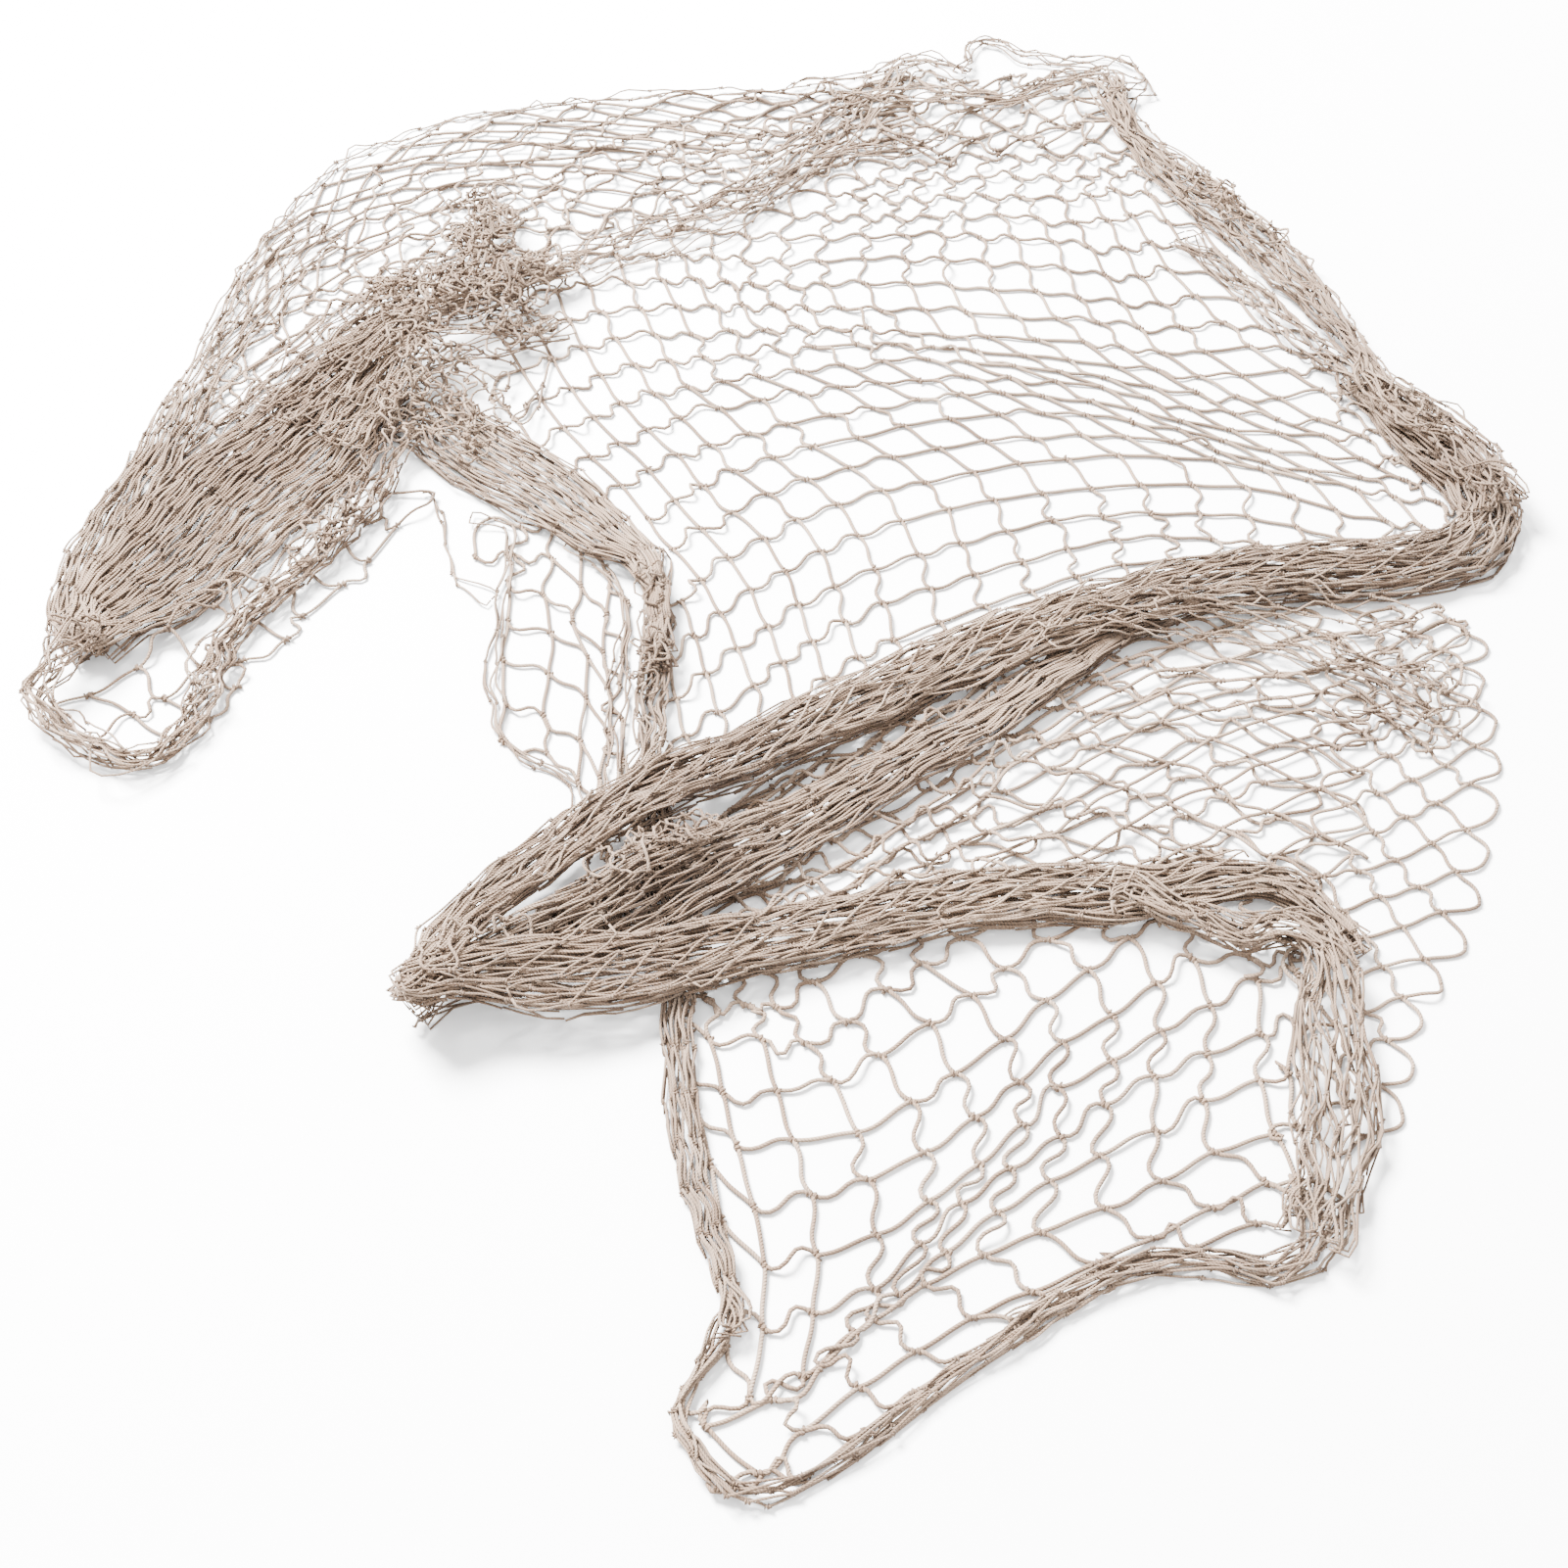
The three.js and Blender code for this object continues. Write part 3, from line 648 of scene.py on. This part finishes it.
def along_fold(table, strands, advance=22.0, size=1.0, raised=1.0, drift=0.0, stagger=4.0,
               wander=1.0, bend=1.35):
    """Places for netting gathered around a ridge, from a table of x, y, width and height.

    A high bend crowds the twines at the sides, as round a cord, and a low one suits a flat band."""
    table = np.array(table, float)
    fineness = 40  # points read for each row of the table
    at = np.linspace(0, len(table) - 1, fineness * len(table))
    fine = through(np.arange(len(table)), table, at)
    step = np.linalg.norm(np.diff(fine[:, :2], axis=0), axis=1)
    run = np.concatenate([[0], np.cumsum(step)])
    heading = np.gradient(fine[:, :2], run, axis=0)
    extra = int(abs(drift) * strands / 2) + 1
    columns = np.arange(-extra, strands + extra + 1)
    keeping_step = 0.75  # how far each row of knots follows the one beside it
    offsets = np.zeros(len(columns))
    for k in range(1, len(columns)):
        offsets[k] = keeping_step * offsets[k - 1] + chance.normal(0, stagger)
    phase, _ = chance.uniform(0, 2 * np.pi, 2)
    overrun = 0.6 * advance
    sway, sway_length = 0.04, 17
    past_end = 0.35  # the last knots stand a little way past the ends
    outermost = 1.001  # a little over one, so that rounding drops no twine

    def place(u, v):
        s = advance * u + offsets[v + extra] + chance.normal(0, 0.4 * stagger, len(u))
        x, y, width, height = (np.interp(s, run, fine[:, k]) for k in range(4))
        hx, hy = (np.interp(s, run, heading[:, k]) for k in range(2))
        across = 2 * v / strands - 1 + drift * (2 * s / run[-1] - 1)
        kept = (abs(across) <= outermost) & (s >= -overrun) & (s <= run[-1] + overrun)
        side = np.sin(bend * np.clip(across, -1, 1)) / np.sin(bend)
        rise = size * raised * height * np.sqrt(np.clip(1 - side * side, 0, 1)) - TWINE / 2
        off = side * size * width / 2 + chance.normal(0, wander, len(u))
        off = off + sway * width * np.sin(s / sway_length + phase)
        beyond = past_end * (np.clip(s, None, 0) + np.clip(s - run[-1], 0, None))
        at = np.stack([x - hy * off + hx * beyond, y + hx * off + hy * beyond], axis=1)
        return at, rise + chance.normal(0, 0.4 * wander, len(u)), kept

    return np.arange(0, int(run[-1] / advance) + 2), columns, place


def gathered(*shells, slack=0.03, untidy=0.8, sway=1.0, covered=0):
    """Fold shells laid one over another. The first few are covered, so their twine is plainer and darkened
    with painted shade.
    """
    ripples = chance.uniform(0, 2 * np.pi, (5, 3))  # the way, lean and start of each
    lengths = chance.uniform(16, 34, 5)
    apart, height = 0.9 * GATHERED_RADIUS, 0.5
    nets = []
    for k, shell in enumerate(shells):
        plain = k < covered
        net = netting(*shell, length=None, slack=slack, untidy=untidy, steps=3 if plain else 6,
                      frayed=False, rounded=1.35)
        flat, ends = net["flat"], net["ends"]
        reach = flat[:, -1] - flat[:, 0]
        share = np.linspace(0, 1, flat.shape[1])[None, :, None]
        for end, weight in ((0, 1 - share), (1, share)):  # two twines leave a knot side by side
            axis = net["axes"][ends[:, end]]
            toward = reach * (1 - 2 * end)
            toward = toward - axis * (toward * axis).sum(axis=1, keepdims=True)
            toward /= np.maximum(np.linalg.norm(toward, axis=1, keepdims=True), 0.3)
            flat += apart * weight * toward[:, None]
        for (way, lean, start), length in zip(ripples, lengths):  # neighbours sway together
            along = flat[..., 0] * math.cos(way) + flat[..., 1] * math.sin(way)
            swing = height * sway * np.sin(2 * np.pi * along / length + start)
            flat += swing[..., None] * np.array([math.cos(lean), math.sin(lean)])
        nets.append(laid(net, radius=GATHERED_RADIUS, plain=plain))
    return nets


FRONT_HEM = [
    (212, -222, 15, 8), (204, -242, 14, 8), (186, -249, 11, 6), (165, -243, 10, 6), (130, -247, 10, 5),
    (90, -272, 8, 5), (50, -303, 7, 4), (20, -328, 5, 4), (-5, -341, 5, 4), (-25, -334, 5, 4),
    (-40, -315, 4, 4), (-38, -298, 4, 4), (-26, -282, 5, 4), (-19, -268, 6, 4),
]
SIDE_HEM = [
    (-18, -276, 5, 4), (-22, -256, 7, 4), (-30, -228, 10, 5), (-38, -195, 12, 6), (-43, -155, 12, 6),
    (-45, -115, 13, 6), (-50, -80, 15, 7), (-56, -40, 16, 7), (-60, 0, 16, 7),
]
SIDE_CORD = [
    (-102, 150, 12, 5), (-86, 134, 9, 5), (-78, 122, 4, 4), (-75, 100, 3, 4), (-75, 80, 4, 4),
    (-77, 60, 7, 4), (-77, 40, 9, 4), (-77, 20, 8, 4), (-77, 0, 6, 4), (-77, -34, 6, 5),
]
SMALL_RIM = [
    (-196, 202, 3, 3), (-172, 177, 4, 3), (-163, 156, 3, 3), (-164, 136, 3, 3), (-152, 122, 3, 3),
    (-137, 112, 4, 3),
]
SMALL_EDGE = [
    (-152, 168, 5, 3), (-134, 162, 6, 3), (-127, 152, 6, 4), (-131, 141, 6, 4), (-136, 130, 6, 4),
    (-133, 115, 7, 4), (-131, 101, 6, 4), (-137, 84, 7, 4), (-136, 68, 7, 3), (-132, 46, 8, 3),
    (-129, 26, 4, 3), (-122, 11, 3, 3), (-103, 8, 3, 3), (-94, -3, 5, 3), (-89, -30, 5, 4),
]
front_hem = gathered(
    along_fold(FRONT_HEM, 5, raised=0.3),
    along_fold(FRONT_HEM[:6], 8, stagger=6, wander=0.7),
    along_fold(FRONT_HEM, 6, wander=0.7),
    along_fold(FRONT_HEM, 3, drift=2, wander=0.9), slack=0.03)
side_hem = gathered(
    along_fold(SIDE_HEM, 11, raised=0.3),
    along_fold(SIDE_HEM, 7, stagger=1.0, wander=0.7),
    along_fold(SIDE_HEM, 6, stagger=1.5, drift=1, wander=0.7), slack=0.03, covered=1)
side_cord = gathered(
    along_fold(SIDE_CORD, 4, stagger=2.5),
    along_fold(SMALL_RIM, 2, wander=0.4),
    along_fold(SMALL_EDGE, 4, advance=24, stagger=2, wander=0.5), slack=0.05)
twine_piece("hems", front_hem + side_hem + side_cord)


# Dropped fold. A flat band of twines with its knots in rows leaves the heap and turns down
# beside the middle panel as a thick cord.

CRUMPLED_RADIUS = 0.72  # crumpled twine is tighter than open netting, and looser than a fold


def crumpled(x, y, long, wide, heading, squeeze, height):
    """Places for netting pushed together inside an ellipse, so that its twines stand in loops."""
    loose_step = 14  # half across a mesh, before it is pushed together
    step = loose_step * squeeze
    columns, rows = int(long / step) + 2, int(wide / step) + 2
    phases = chance.uniform(0, 2 * np.pi, (4, 2))
    waves = chance.uniform(0.05, 0.16, (4, 2))
    push, ragged = 0.5 * step, 0.12

    def place(u, v):
        at = np.stack([u, v], axis=1) * step
        for (px, py), (wx, wy) in zip(phases, waves):
            bend = np.sin(wx * at[:, :1] + wy * at[:, 1:] + px)
            at = at + push * bend * np.array([np.cos(py), np.sin(py)])
        out = np.hypot(at[:, 0] / long, at[:, 1] / wide) + chance.normal(0, ragged, len(u))
        rise = height * np.sqrt(np.clip(1 - out * out, 0, 1)) * chance.uniform(0.6, 1, len(u))
        flat = turned(at, np.full(len(u), math.radians(heading))) + np.array([x, y])
        return flat, rise, out < 1

    return np.arange(-columns, columns + 1), np.arange(-rows, rows + 1), place


def heaped(*patches):
    """Crumpled patches dropped one over another, each given by the values crumpled takes."""
    shells = [crumpled(*patch) for patch in patches]
    return [laid(netting(*shell, length=20, untidy=1.6, stray=1.5, steps=7, frayed=False,
                         rounded=1.5), CRUMPLED_RADIUS) for shell in shells]


DROPPED_BAND = [
    (-180, 240, 44, 9), (-142, 203, 48, 8), (-110, 176, 42, 8), (-87, 153, 32, 8), (-71, 138, 20, 9),
    (-61, 118, 12, 9), (-58, 92, 9, 8), (-58, 64, 5, 6),
]
DROPPED_CORD = [
    (-86, 154, 18, 6), (-66, 142, 14, 7), (-60, 122, 11, 7), (-59, 98, 13, 7), (-60, 72, 14, 7),
    (-61, 46, 14, 7), (-60, 20, 13, 7), (-60, -34, 15, 7),
]
dropped = gathered(
    along_fold(DROPPED_CORD, 10, raised=0.3),
    along_fold(DROPPED_CORD, 7, size=0.9),
    along_fold(DROPPED_CORD, 8, advance=17, stagger=5.0, wander=1.6),
    slack=0.08, untidy=1.2, sway=1.3, covered=1)
dropped += gathered(
    along_fold(DROPPED_BAND, 22, size=0.98, raised=0.4, bend=0.6),
    along_fold(DROPPED_BAND, 14, size=0.96, bend=0.6),
    along_fold(DROPPED_BAND, 22, stagger=1.5, wander=0.5, bend=0.6), slack=0.02, untidy=0.5, covered=2)
dropped += heaped((-61, 112, 32, 8, 96, 0.42, 10), (-60, 58, 42, 8, 90, 0.42, 10))
twine_piece("dropped_fold", dropped)


# Inner fold. It leaves the front left end beside the long fold and runs in under it, as a soft
# band of twines with their knots in rows.

INNER_FOLD = [
    (172, 98, 3, 3), (152, 80, 8, 5), (128, 60, 13, 7), (95, 33, 20, 11), (50, 0, 23, 13), (5, -34, 27, 13),
    (-42, -66, 32, 14), (-86, -93, 34, 14), (-120, -107, 26, 12), (-144, -120, 12, 9), (-153, -130, 4, 6),
]
end_netting = heaped(
    (-88, -82, 44, 15, 38, 0.42, 5), (-38, -48, 44, 15, 34, 0.42, 5), (-62, -66, 66, 13, 36, 0.5, 5),
    (-74, -62, 60, 12, 38, 0.42, 8))
inner_fold = gathered(
    along_fold(INNER_FOLD, 18, size=0.98, raised=0.4),
    along_fold(INNER_FOLD, 12, size=0.9),
    along_fold(INNER_FOLD, 17, drift=0.3, stagger=2.0, wander=0.9, bend=1.1), slack=0.03, covered=2)
twine_piece("inner_fold", end_netting + inner_fold)


# Long fold. The slack of the net is gathered into one thick fold from the right corner to the
# end at the front left. Its meshes are drawn out so far that the twines lie side by side.

LONG_FOLD = [
    (294, 264, 12, 8), (305, 240, 20, 11), (321, 213, 26, 13), (337, 189, 30, 14), (343, 165, 30, 15),
    (336, 146, 31, 15), (318, 134, 33, 16), (290, 128, 34, 17), (240, 125, 34, 17), (190, 114, 34, 18),
    (140, 95, 34, 18), (90, 73, 33, 17), (40, 44, 32, 17), (-10, 12, 30, 16), (-60, -20, 28, 15),
    (-102, -56, 26, 14), (-132, -88, 22, 12), (-149, -116, 12, 9), (-153, -130, 4, 6),
]
long_fold = gathered(
    along_fold(LONG_FOLD, 24, size=0.98, raised=0.3),
    along_fold(LONG_FOLD, 22, size=0.95, raised=0.7, drift=-0.4),
    along_fold(LONG_FOLD, 16, size=0.92, wander=1.5),
    along_fold(LONG_FOLD, 23, drift=0.6, wander=1.5),
    along_fold(LONG_FOLD, 7, drift=5, wander=2), slack=0.035, covered=3)
long_fold += heaped((-98, -84, 44, 12, 40, 0.55, 11), (-46, -50, 42, 11, 36, 0.6, 9))
twine_piece("long_fold", long_fold)


# Lower fold, from the front left end along the back of the front panel, and side fold, down its
# right side. Both are soft ropes of the net's own cotton, gathered by hand and not tied.

LOWER_FOLD = [
    (-154, -132, 4, 6), (-144, -127, 14, 9), (-122, -122, 27, 13), (-85, -118, 34, 16), (-40, -106, 34, 17),
    (10, -90, 29, 16), (60, -76, 27, 15), (110, -70, 27, 15), (150, -68, 27, 14), (176, -64, 20, 11),
    (200, -60, 15, 9), (218, -65, 13, 9), (231, -79, 12, 9), (237, -98, 12, 9),
]
lower_fold = gathered(
    along_fold(LOWER_FOLD, 22, size=0.98, raised=0.3),
    along_fold(LOWER_FOLD, 20, size=0.95, raised=0.7, drift=-0.3),
    along_fold(LOWER_FOLD, 13, size=0.92),
    along_fold(LOWER_FOLD, 19, drift=0.3, wander=1.5),
    along_fold(LOWER_FOLD, 6, drift=5, wander=2), slack=0.035, covered=3)
twine_piece("lower_fold", lower_fold)

SIDE_FOLD = [
    (140, -74, 14, 8), (162, -76, 12, 9), (176, -88, 12, 9), (192, -94, 12, 9), (206, -91, 14, 10),
    (218, -88, 16, 10), (227, -95, 17, 10), (229, -112, 22, 10), (226, -132, 28, 10), (224, -152, 33, 9),
    (223, -175, 35, 9), (220, -198, 32, 9), (213, -218, 24, 8), (206, -236, 16, 8),
]
side_fold = gathered(
    along_fold(SIDE_FOLD, 14, size=0.98, raised=0.3, stagger=5),
    along_fold(SIDE_FOLD, 11, size=0.95, stagger=6),
    along_fold(SIDE_FOLD, 13, drift=0.2, stagger=6, wander=2), slack=0.08, untidy=1.2, sway=1.4, covered=1)
twine_piece("side_fold", side_fold)


# Right gathers. Loose twines of the right panel are drawn together across it, and crumple where
# they reach its edge.

UPPER_GATHER = [
    (120, 78, 10, 5), (150, 90, 16, 7), (190, 92, 20, 7), (228, 84, 22, 7), (262, 70, 22, 8),
    (288, 54, 22, 9), (302, 46, 32, 7),
]
TOP_GATHER = [(160, 98, 8, 5), (200, 102, 12, 6), (250, 102, 14, 6), (284, 96, 20, 6), (300, 90, 36, 5)]
SHORT_GATHER = [(258, 50, 8, 6), (272, 38, 10, 8), (288, 30, 13, 9), (300, 27, 18, 8), (308, 30, 26, 6)]
right_gathers = gathered(
    along_fold(UPPER_GATHER, 12, stagger=7, wander=2.0),
    along_fold(TOP_GATHER, 5, stagger=6, wander=1.5),
    along_fold(SHORT_GATHER, 8, advance=16, stagger=5, wander=1.2), slack=0.14, untidy=1.4)
right_gathers += heaped((300, 48, 28, 13, -22, 0.55, 9), (304, 84, 26, 16, 10, 0.9, 5))
twine_piece("right_gathers", right_gathers)


# Back right fold. It closes the middle panel along its right side: the netting is pushed together
# there, with a narrow strip of it lying along the inside.

BACK_RIGHT_FOLD = [
    (186, 520, 10, 7), (188, 498, 12, 8), (194, 474, 15, 9), (209, 446, 22, 10), (233, 410, 29, 12),
    (257, 372, 26, 12), (275, 339, 20, 12), (285, 312, 17, 12), (291, 289, 11, 11), (296, 265, 11, 12),
    (304, 243, 20, 13), (320, 224, 30, 15), (333, 206, 32, 15), (342, 184, 29, 15), (346, 163, 22, 13),
]
INNER_STRIP = [
    (217, 382, 8, 7), (233, 357, 10, 7), (249, 333, 12, 7), (260, 310, 12, 7), (273, 287, 10, 7),
    (285, 266, 10, 8), (296, 246, 10, 8),
]
back_right = gathered(
    along_fold(BACK_RIGHT_FOLD, 18, size=0.98, raised=0.3, stagger=6),
    along_fold(INNER_STRIP, 6, raised=0.3),
    along_fold(BACK_RIGHT_FOLD, 13, size=0.9, stagger=7, wander=1.6),
    along_fold(INNER_STRIP, 7, stagger=2, wander=0.7),
    along_fold(BACK_RIGHT_FOLD, 14, drift=0.6, advance=20, stagger=7, wander=1.8),
    slack=0.1, untidy=1.3, sway=1.6, covered=3)
back_right += heaped(
    (230, 414, 36, 12, -60, 0.45, 9), (264, 364, 34, 9, -62, 0.45, 10), (284, 316, 24, 7, -68, 0.42, 10),
    (320, 224, 28, 14, -48, 0.45, 12), (340, 186, 26, 13, -68, 0.45, 11))
twine_piece("back_right_fold", back_right)


# Back folds: the gathered lower edge of the back band, its crumpled crest and its rim, all of
# the band's own twine.

BACK_FOLD = [
    (-118, 352, 22, 8), (-80, 374, 22, 8), (-40, 394, 24, 8), (0, 438, 30, 8), (36, 482, 28, 8),
    (56, 516, 22, 9), (74, 540, 16, 9), (94, 538, 14, 8), (105, 534, 10, 7),
]
MIDDLE_GATHER = [
    (-60, 398, 8, 4), (-10, 420, 8, 5), (30, 450, 10, 5), (60, 456, 10, 6), (88, 462, 8, 5), (98, 480, 6, 4),
]
CREST = [
    (103, 528, 8, 6), (108, 550, 8, 7), (114, 566, 8, 7), (128, 561, 9, 6), (142, 549, 10, 6),
    (160, 543, 10, 6), (178, 547, 12, 6), (198, 541, 12, 6), (211, 524, 12, 6), (203, 511, 10, 6),
    (190, 503, 10, 6),
]
CREST_GATHER = [
    (30, 496, 10, 5), (66, 500, 12, 6), (88, 508, 13, 6), (112, 503, 12, 6), (132, 504, 12, 6),
    (150, 516, 12, 6), (170, 523, 12, 6), (186, 526, 10, 6),
]
BACK_RIM = [
    (-300, 262, 5, 3), (-295, 310, 5, 3), (-287, 355, 5, 3), (-277, 390, 5, 3), (-262, 425, 6, 3),
    (-243, 455, 6, 3), (-212, 477, 6, 3), (-170, 496, 6, 3), (-115, 507, 6, 3), (-50, 513, 6, 3),
    (0, 517, 6, 3), (50, 531, 6, 3), (72, 551, 6, 4),
]
back_folds = gathered(
    along_fold(BACK_RIM, 3, stagger=6, wander=1.2),
    along_fold(BACK_FOLD, 10, stagger=6, wander=1.5),
    along_fold(MIDDLE_GATHER, 4, stagger=6),
    along_fold(CREST_GATHER, 7, advance=20, wander=1.2),
    along_fold(CREST, 5, advance=18, stagger=5, wander=1.2), slack=0.1, untidy=1.4)
twine_piece("back_folds", back_folds)


# Left bundle. Where the net is tied off at the left, its twines run side by side up the limb
# with their knots in rows, and fan out again towards the heap.

LEFT_BUNDLE = [
    (-322, 73, 5, 9), (-318, 86, 34, 14), (-308, 104, 52, 14), (-294, 128, 64, 12), (-275, 158, 70, 11),
    (-250, 198, 70, 11), (-226, 238, 66, 13), (-205, 268, 54, 18),
]
LEFT_EDGE = [
    (-322, 74, 5, 9), (-335, 90, 18, 10), (-335, 122, 26, 10), (-324, 165, 30, 9), (-310, 212, 27, 9),
    (-300, 258, 24, 8), (-289, 304, 30, 6), (-273, 352, 38, 5), (-250, 398, 46, 4),
]
LEFT_FAN = [
    (-322, 74, 5, 9), (-326, 100, 20, 12), (-311, 142, 36, 11), (-290, 188, 44, 10), (-266, 232, 46, 9),
    (-242, 274, 44, 9), (-218, 312, 34, 9), (-196, 342, 22, 8),
]
left_bundle = gathered(
    along_fold(LEFT_EDGE[:5], 20, raised=0.5, bend=0.6),
    along_fold(LEFT_FAN, 14, stagger=5, wander=1.5, bend=0.6),
    along_fold(LEFT_EDGE, 13, stagger=5, wander=1.2, bend=0.6),
    along_fold(LEFT_EDGE[:6], 13, stagger=1.5, wander=0.7, bend=0.6), slack=0.03, covered=1)
left_bundle += gathered(
    along_fold(LEFT_BUNDLE, 40, size=0.97, raised=0.5, bend=0.5),
    along_fold(LEFT_BUNDLE, 26, size=0.96, bend=0.5),
    along_fold(LEFT_BUNDLE, 40, stagger=1.2, wander=0.6, bend=0.5), slack=0.025, untidy=0.6, covered=2)
left_bundle += heaped((-327, 74, 14, 11, 30, 0.5, 10))
twine_piece("left_bundle", left_bundle)


# Tail. Past the tie the net's last twines make a thin cord, which loops back up to the heap over
# a little open netting.

TAIL_ALONG = range(0, 11, 2)
TAIL_ACROSS = range(3)
TAIL_KNOTS = [
    [(-334, 44), (-302, 72), (-274, 100), (-252, 134), (-228, 166), (-206, 196)],
    [(-314, 27), (-286, 54), (-262, 88), (-240, 118), (-218, 150), (-196, 190)],
    [(-290, 8), (-266, 38), (-246, 72), (-224, 102), (-202, 138), (-180, 186)],
]
tail_netting = laid(netting(*spread(TAIL_ALONG, TAIL_ACROSS, TAIL_KNOTS, square=True), stray=4.0,
                            untidy=1.6))
TAIL = [
    (-321, 76, 5, 9), (-325, 67, 13, 11), (-332, 56, 14, 9), (-343, 44, 6, 6), (-337, 33, 10, 5),
    (-318, 19, 12, 5), (-300, 9, 11, 5), (-287, 7, 9, 6), (-275, 18, 9, 6), (-267, 38, 12, 7),
    (-264, 62, 15, 8), (-258, 88, 14, 9), (-240, 114, 12, 9), (-222, 140, 14, 9), (-208, 166, 16, 9),
    (-199, 196, 18, 10), (-190, 228, 20, 12),
]
tail = gathered(
    along_fold(TAIL, 10, raised=0.3),
    along_fold(TAIL, 6, size=0.9, stagger=4),
    along_fold(TAIL, 5, stagger=5, wander=1.8), slack=0.12, untidy=1.2, sway=1.5, covered=2)
tail += heaped(
    (-266, 50, 32, 7, 80, 0.45, 9), (-250, 100, 36, 7, 58, 0.45, 10), (-220, 146, 36, 8, 58, 0.45, 11),
    (-316, 20, 26, 4, -34, 0.4, 6))
twine_piece("tail", [tail_netting] + tail)


# Heap. The middle of the net's left side is pushed together into a crumpled heap: loose netting
# folded over itself, with two tongues of gathered twines across it.

LIMB_END = [(-240, 220, 66, 12), (-222, 246, 58, 16), (-206, 270, 44, 20), (-194, 288, 26, 20)]
UPPER_TONGUE = [
    (-224, 256, 28, 20), (-206, 282, 22, 25), (-186, 301, 15, 27), (-164, 310, 13, 25), (-142, 326, 12, 20),
    (-126, 341, 9, 15), (-113, 347, 4, 10),
]
LOWER_TONGUE = [
    (-214, 232, 34, 16), (-196, 256, 30, 20), (-174, 276, 24, 21), (-150, 290, 22, 16), (-128, 300, 18, 9),
    (-116, 305, 10, 5),
]
heap = heaped(
    (-185, 348, 56, 36, 60, 0.75, 9), (-165, 400, 46, 18, 85, 0.6, 7), (-168, 262, 46, 30, 110, 0.6, 12),
    (-134, 290, 64, 22, 100, 0.9, 3), (-196, 322, 26, 24, 20, 0.45, 18), (-150, 335, 42, 24, 25, 0.45, 14),
    (-164, 380, 44, 18, 80, 0.45, 10))
heap += gathered(
    along_fold(LIMB_END, 30, raised=0.6),
    along_fold(LIMB_END, 26, stagger=3),
    along_fold(LOWER_TONGUE, 12, stagger=6, wander=1.6),
    along_fold(UPPER_TONGUE, 9, raised=0.7),
    along_fold(UPPER_TONGUE, 11, stagger=4), slack=0.08, untidy=1.2, covered=1)
heap += heaped(
    (-138, -112, 20, 12, 25, 0.5, 10), (-174, 232, 34, 24, 120, 0.42, 17), (-206, 324, 22, 16, 60, 0.4, 26),
    (-172, 340, 30, 14, 20, 0.42, 22), (-134, 342, 24, 13, 15, 0.42, 17), (-132, 300, 22, 12, 20, 0.5, 12),
    (-158, 372, 30, 15, 70, 0.42, 13), (-188, 294, 24, 15, 30, 0.42, 26), (-160, 318, 34, 17, 20, 0.42, 24),
    (-142, 272, 26, 16, 110, 0.6, 10), (-142, 302, 40, 24, 60, 0.55, 12), (-176, 262, 34, 20, 120, 0.45, 16),
    (-120, 262, 26, 16, 90, 0.8, 6))
twine_piece("heap", heap)


# The studio: a pale floor that reaches past the view, an even white sky, one soft light above
# the back left, and a camera that looks down on the net. The floor and light are in metres.

FLOOR = 6.0
floor_corners = [(-FLOOR, -FLOOR, 0), (FLOOR, -FLOOR, 0), (FLOOR, FLOOR, 0), (-FLOOR, FLOOR, 0)]
floor_mesh = bpy.data.meshes.new("floor")
floor_mesh.from_pydata(floor_corners, [], [(0, 1, 2, 3)])
floor = bpy.data.objects.new("floor", floor_mesh)
bpy.context.scene.collection.objects.link(floor)
pale = bpy.data.materials.new("pale floor")
pale.use_nodes = True
paint = pale.node_tree.nodes["Principled BSDF"].inputs
paint["Base Color"].default_value = (0.5, 0.5, 0.5, 1)
paint["Roughness"].default_value = 0.9
paint["Specular IOR Level"].default_value = 0.1
floor_mesh.materials.append(pale)

SKY_STRENGTH = 5.9
world = bpy.data.worlds.new("studio")
bpy.context.scene.world = world
world.use_nodes = True
sky = world.node_tree.nodes["Background"].inputs
sky["Color"].default_value = (1, 1, 1, 1)
sky["Strength"].default_value = SKY_STRENGTH

KEY_PLACE = (-1.3, 1.2, 2.2)
KEY_POWER = 2500
KEY_SIZE = 1.1
key_light = bpy.data.lights.new("key", "AREA")
key_light.energy, key_light.size = KEY_POWER, KEY_SIZE
key = bpy.data.objects.new("key", key_light)
key.location = KEY_PLACE
key.rotation_mode = "QUATERNION"
key.rotation_quaternion = (-Vector(KEY_PLACE)).to_track_quat("-Z", "Y")
bpy.context.scene.collection.objects.link(key)

DISTANCE = 1170.0
ELEVATION = math.radians(50)
LENS = 60
SENSOR = 36
look_x, look_y = -LAYOUT_MIDDLE
camera_data = bpy.data.cameras.new("camera")
camera_data.lens, camera_data.sensor_width = LENS, SENSOR
camera = bpy.data.objects.new("camera", camera_data)
camera.location = (look_x / 1000, (look_y - DISTANCE * math.cos(ELEVATION)) / 1000,
                   DISTANCE * math.sin(ELEVATION) / 1000)
camera.rotation_euler = (math.pi / 2 - ELEVATION, 0, 0)
bpy.context.scene.collection.objects.link(camera)
bpy.context.scene.camera = camera
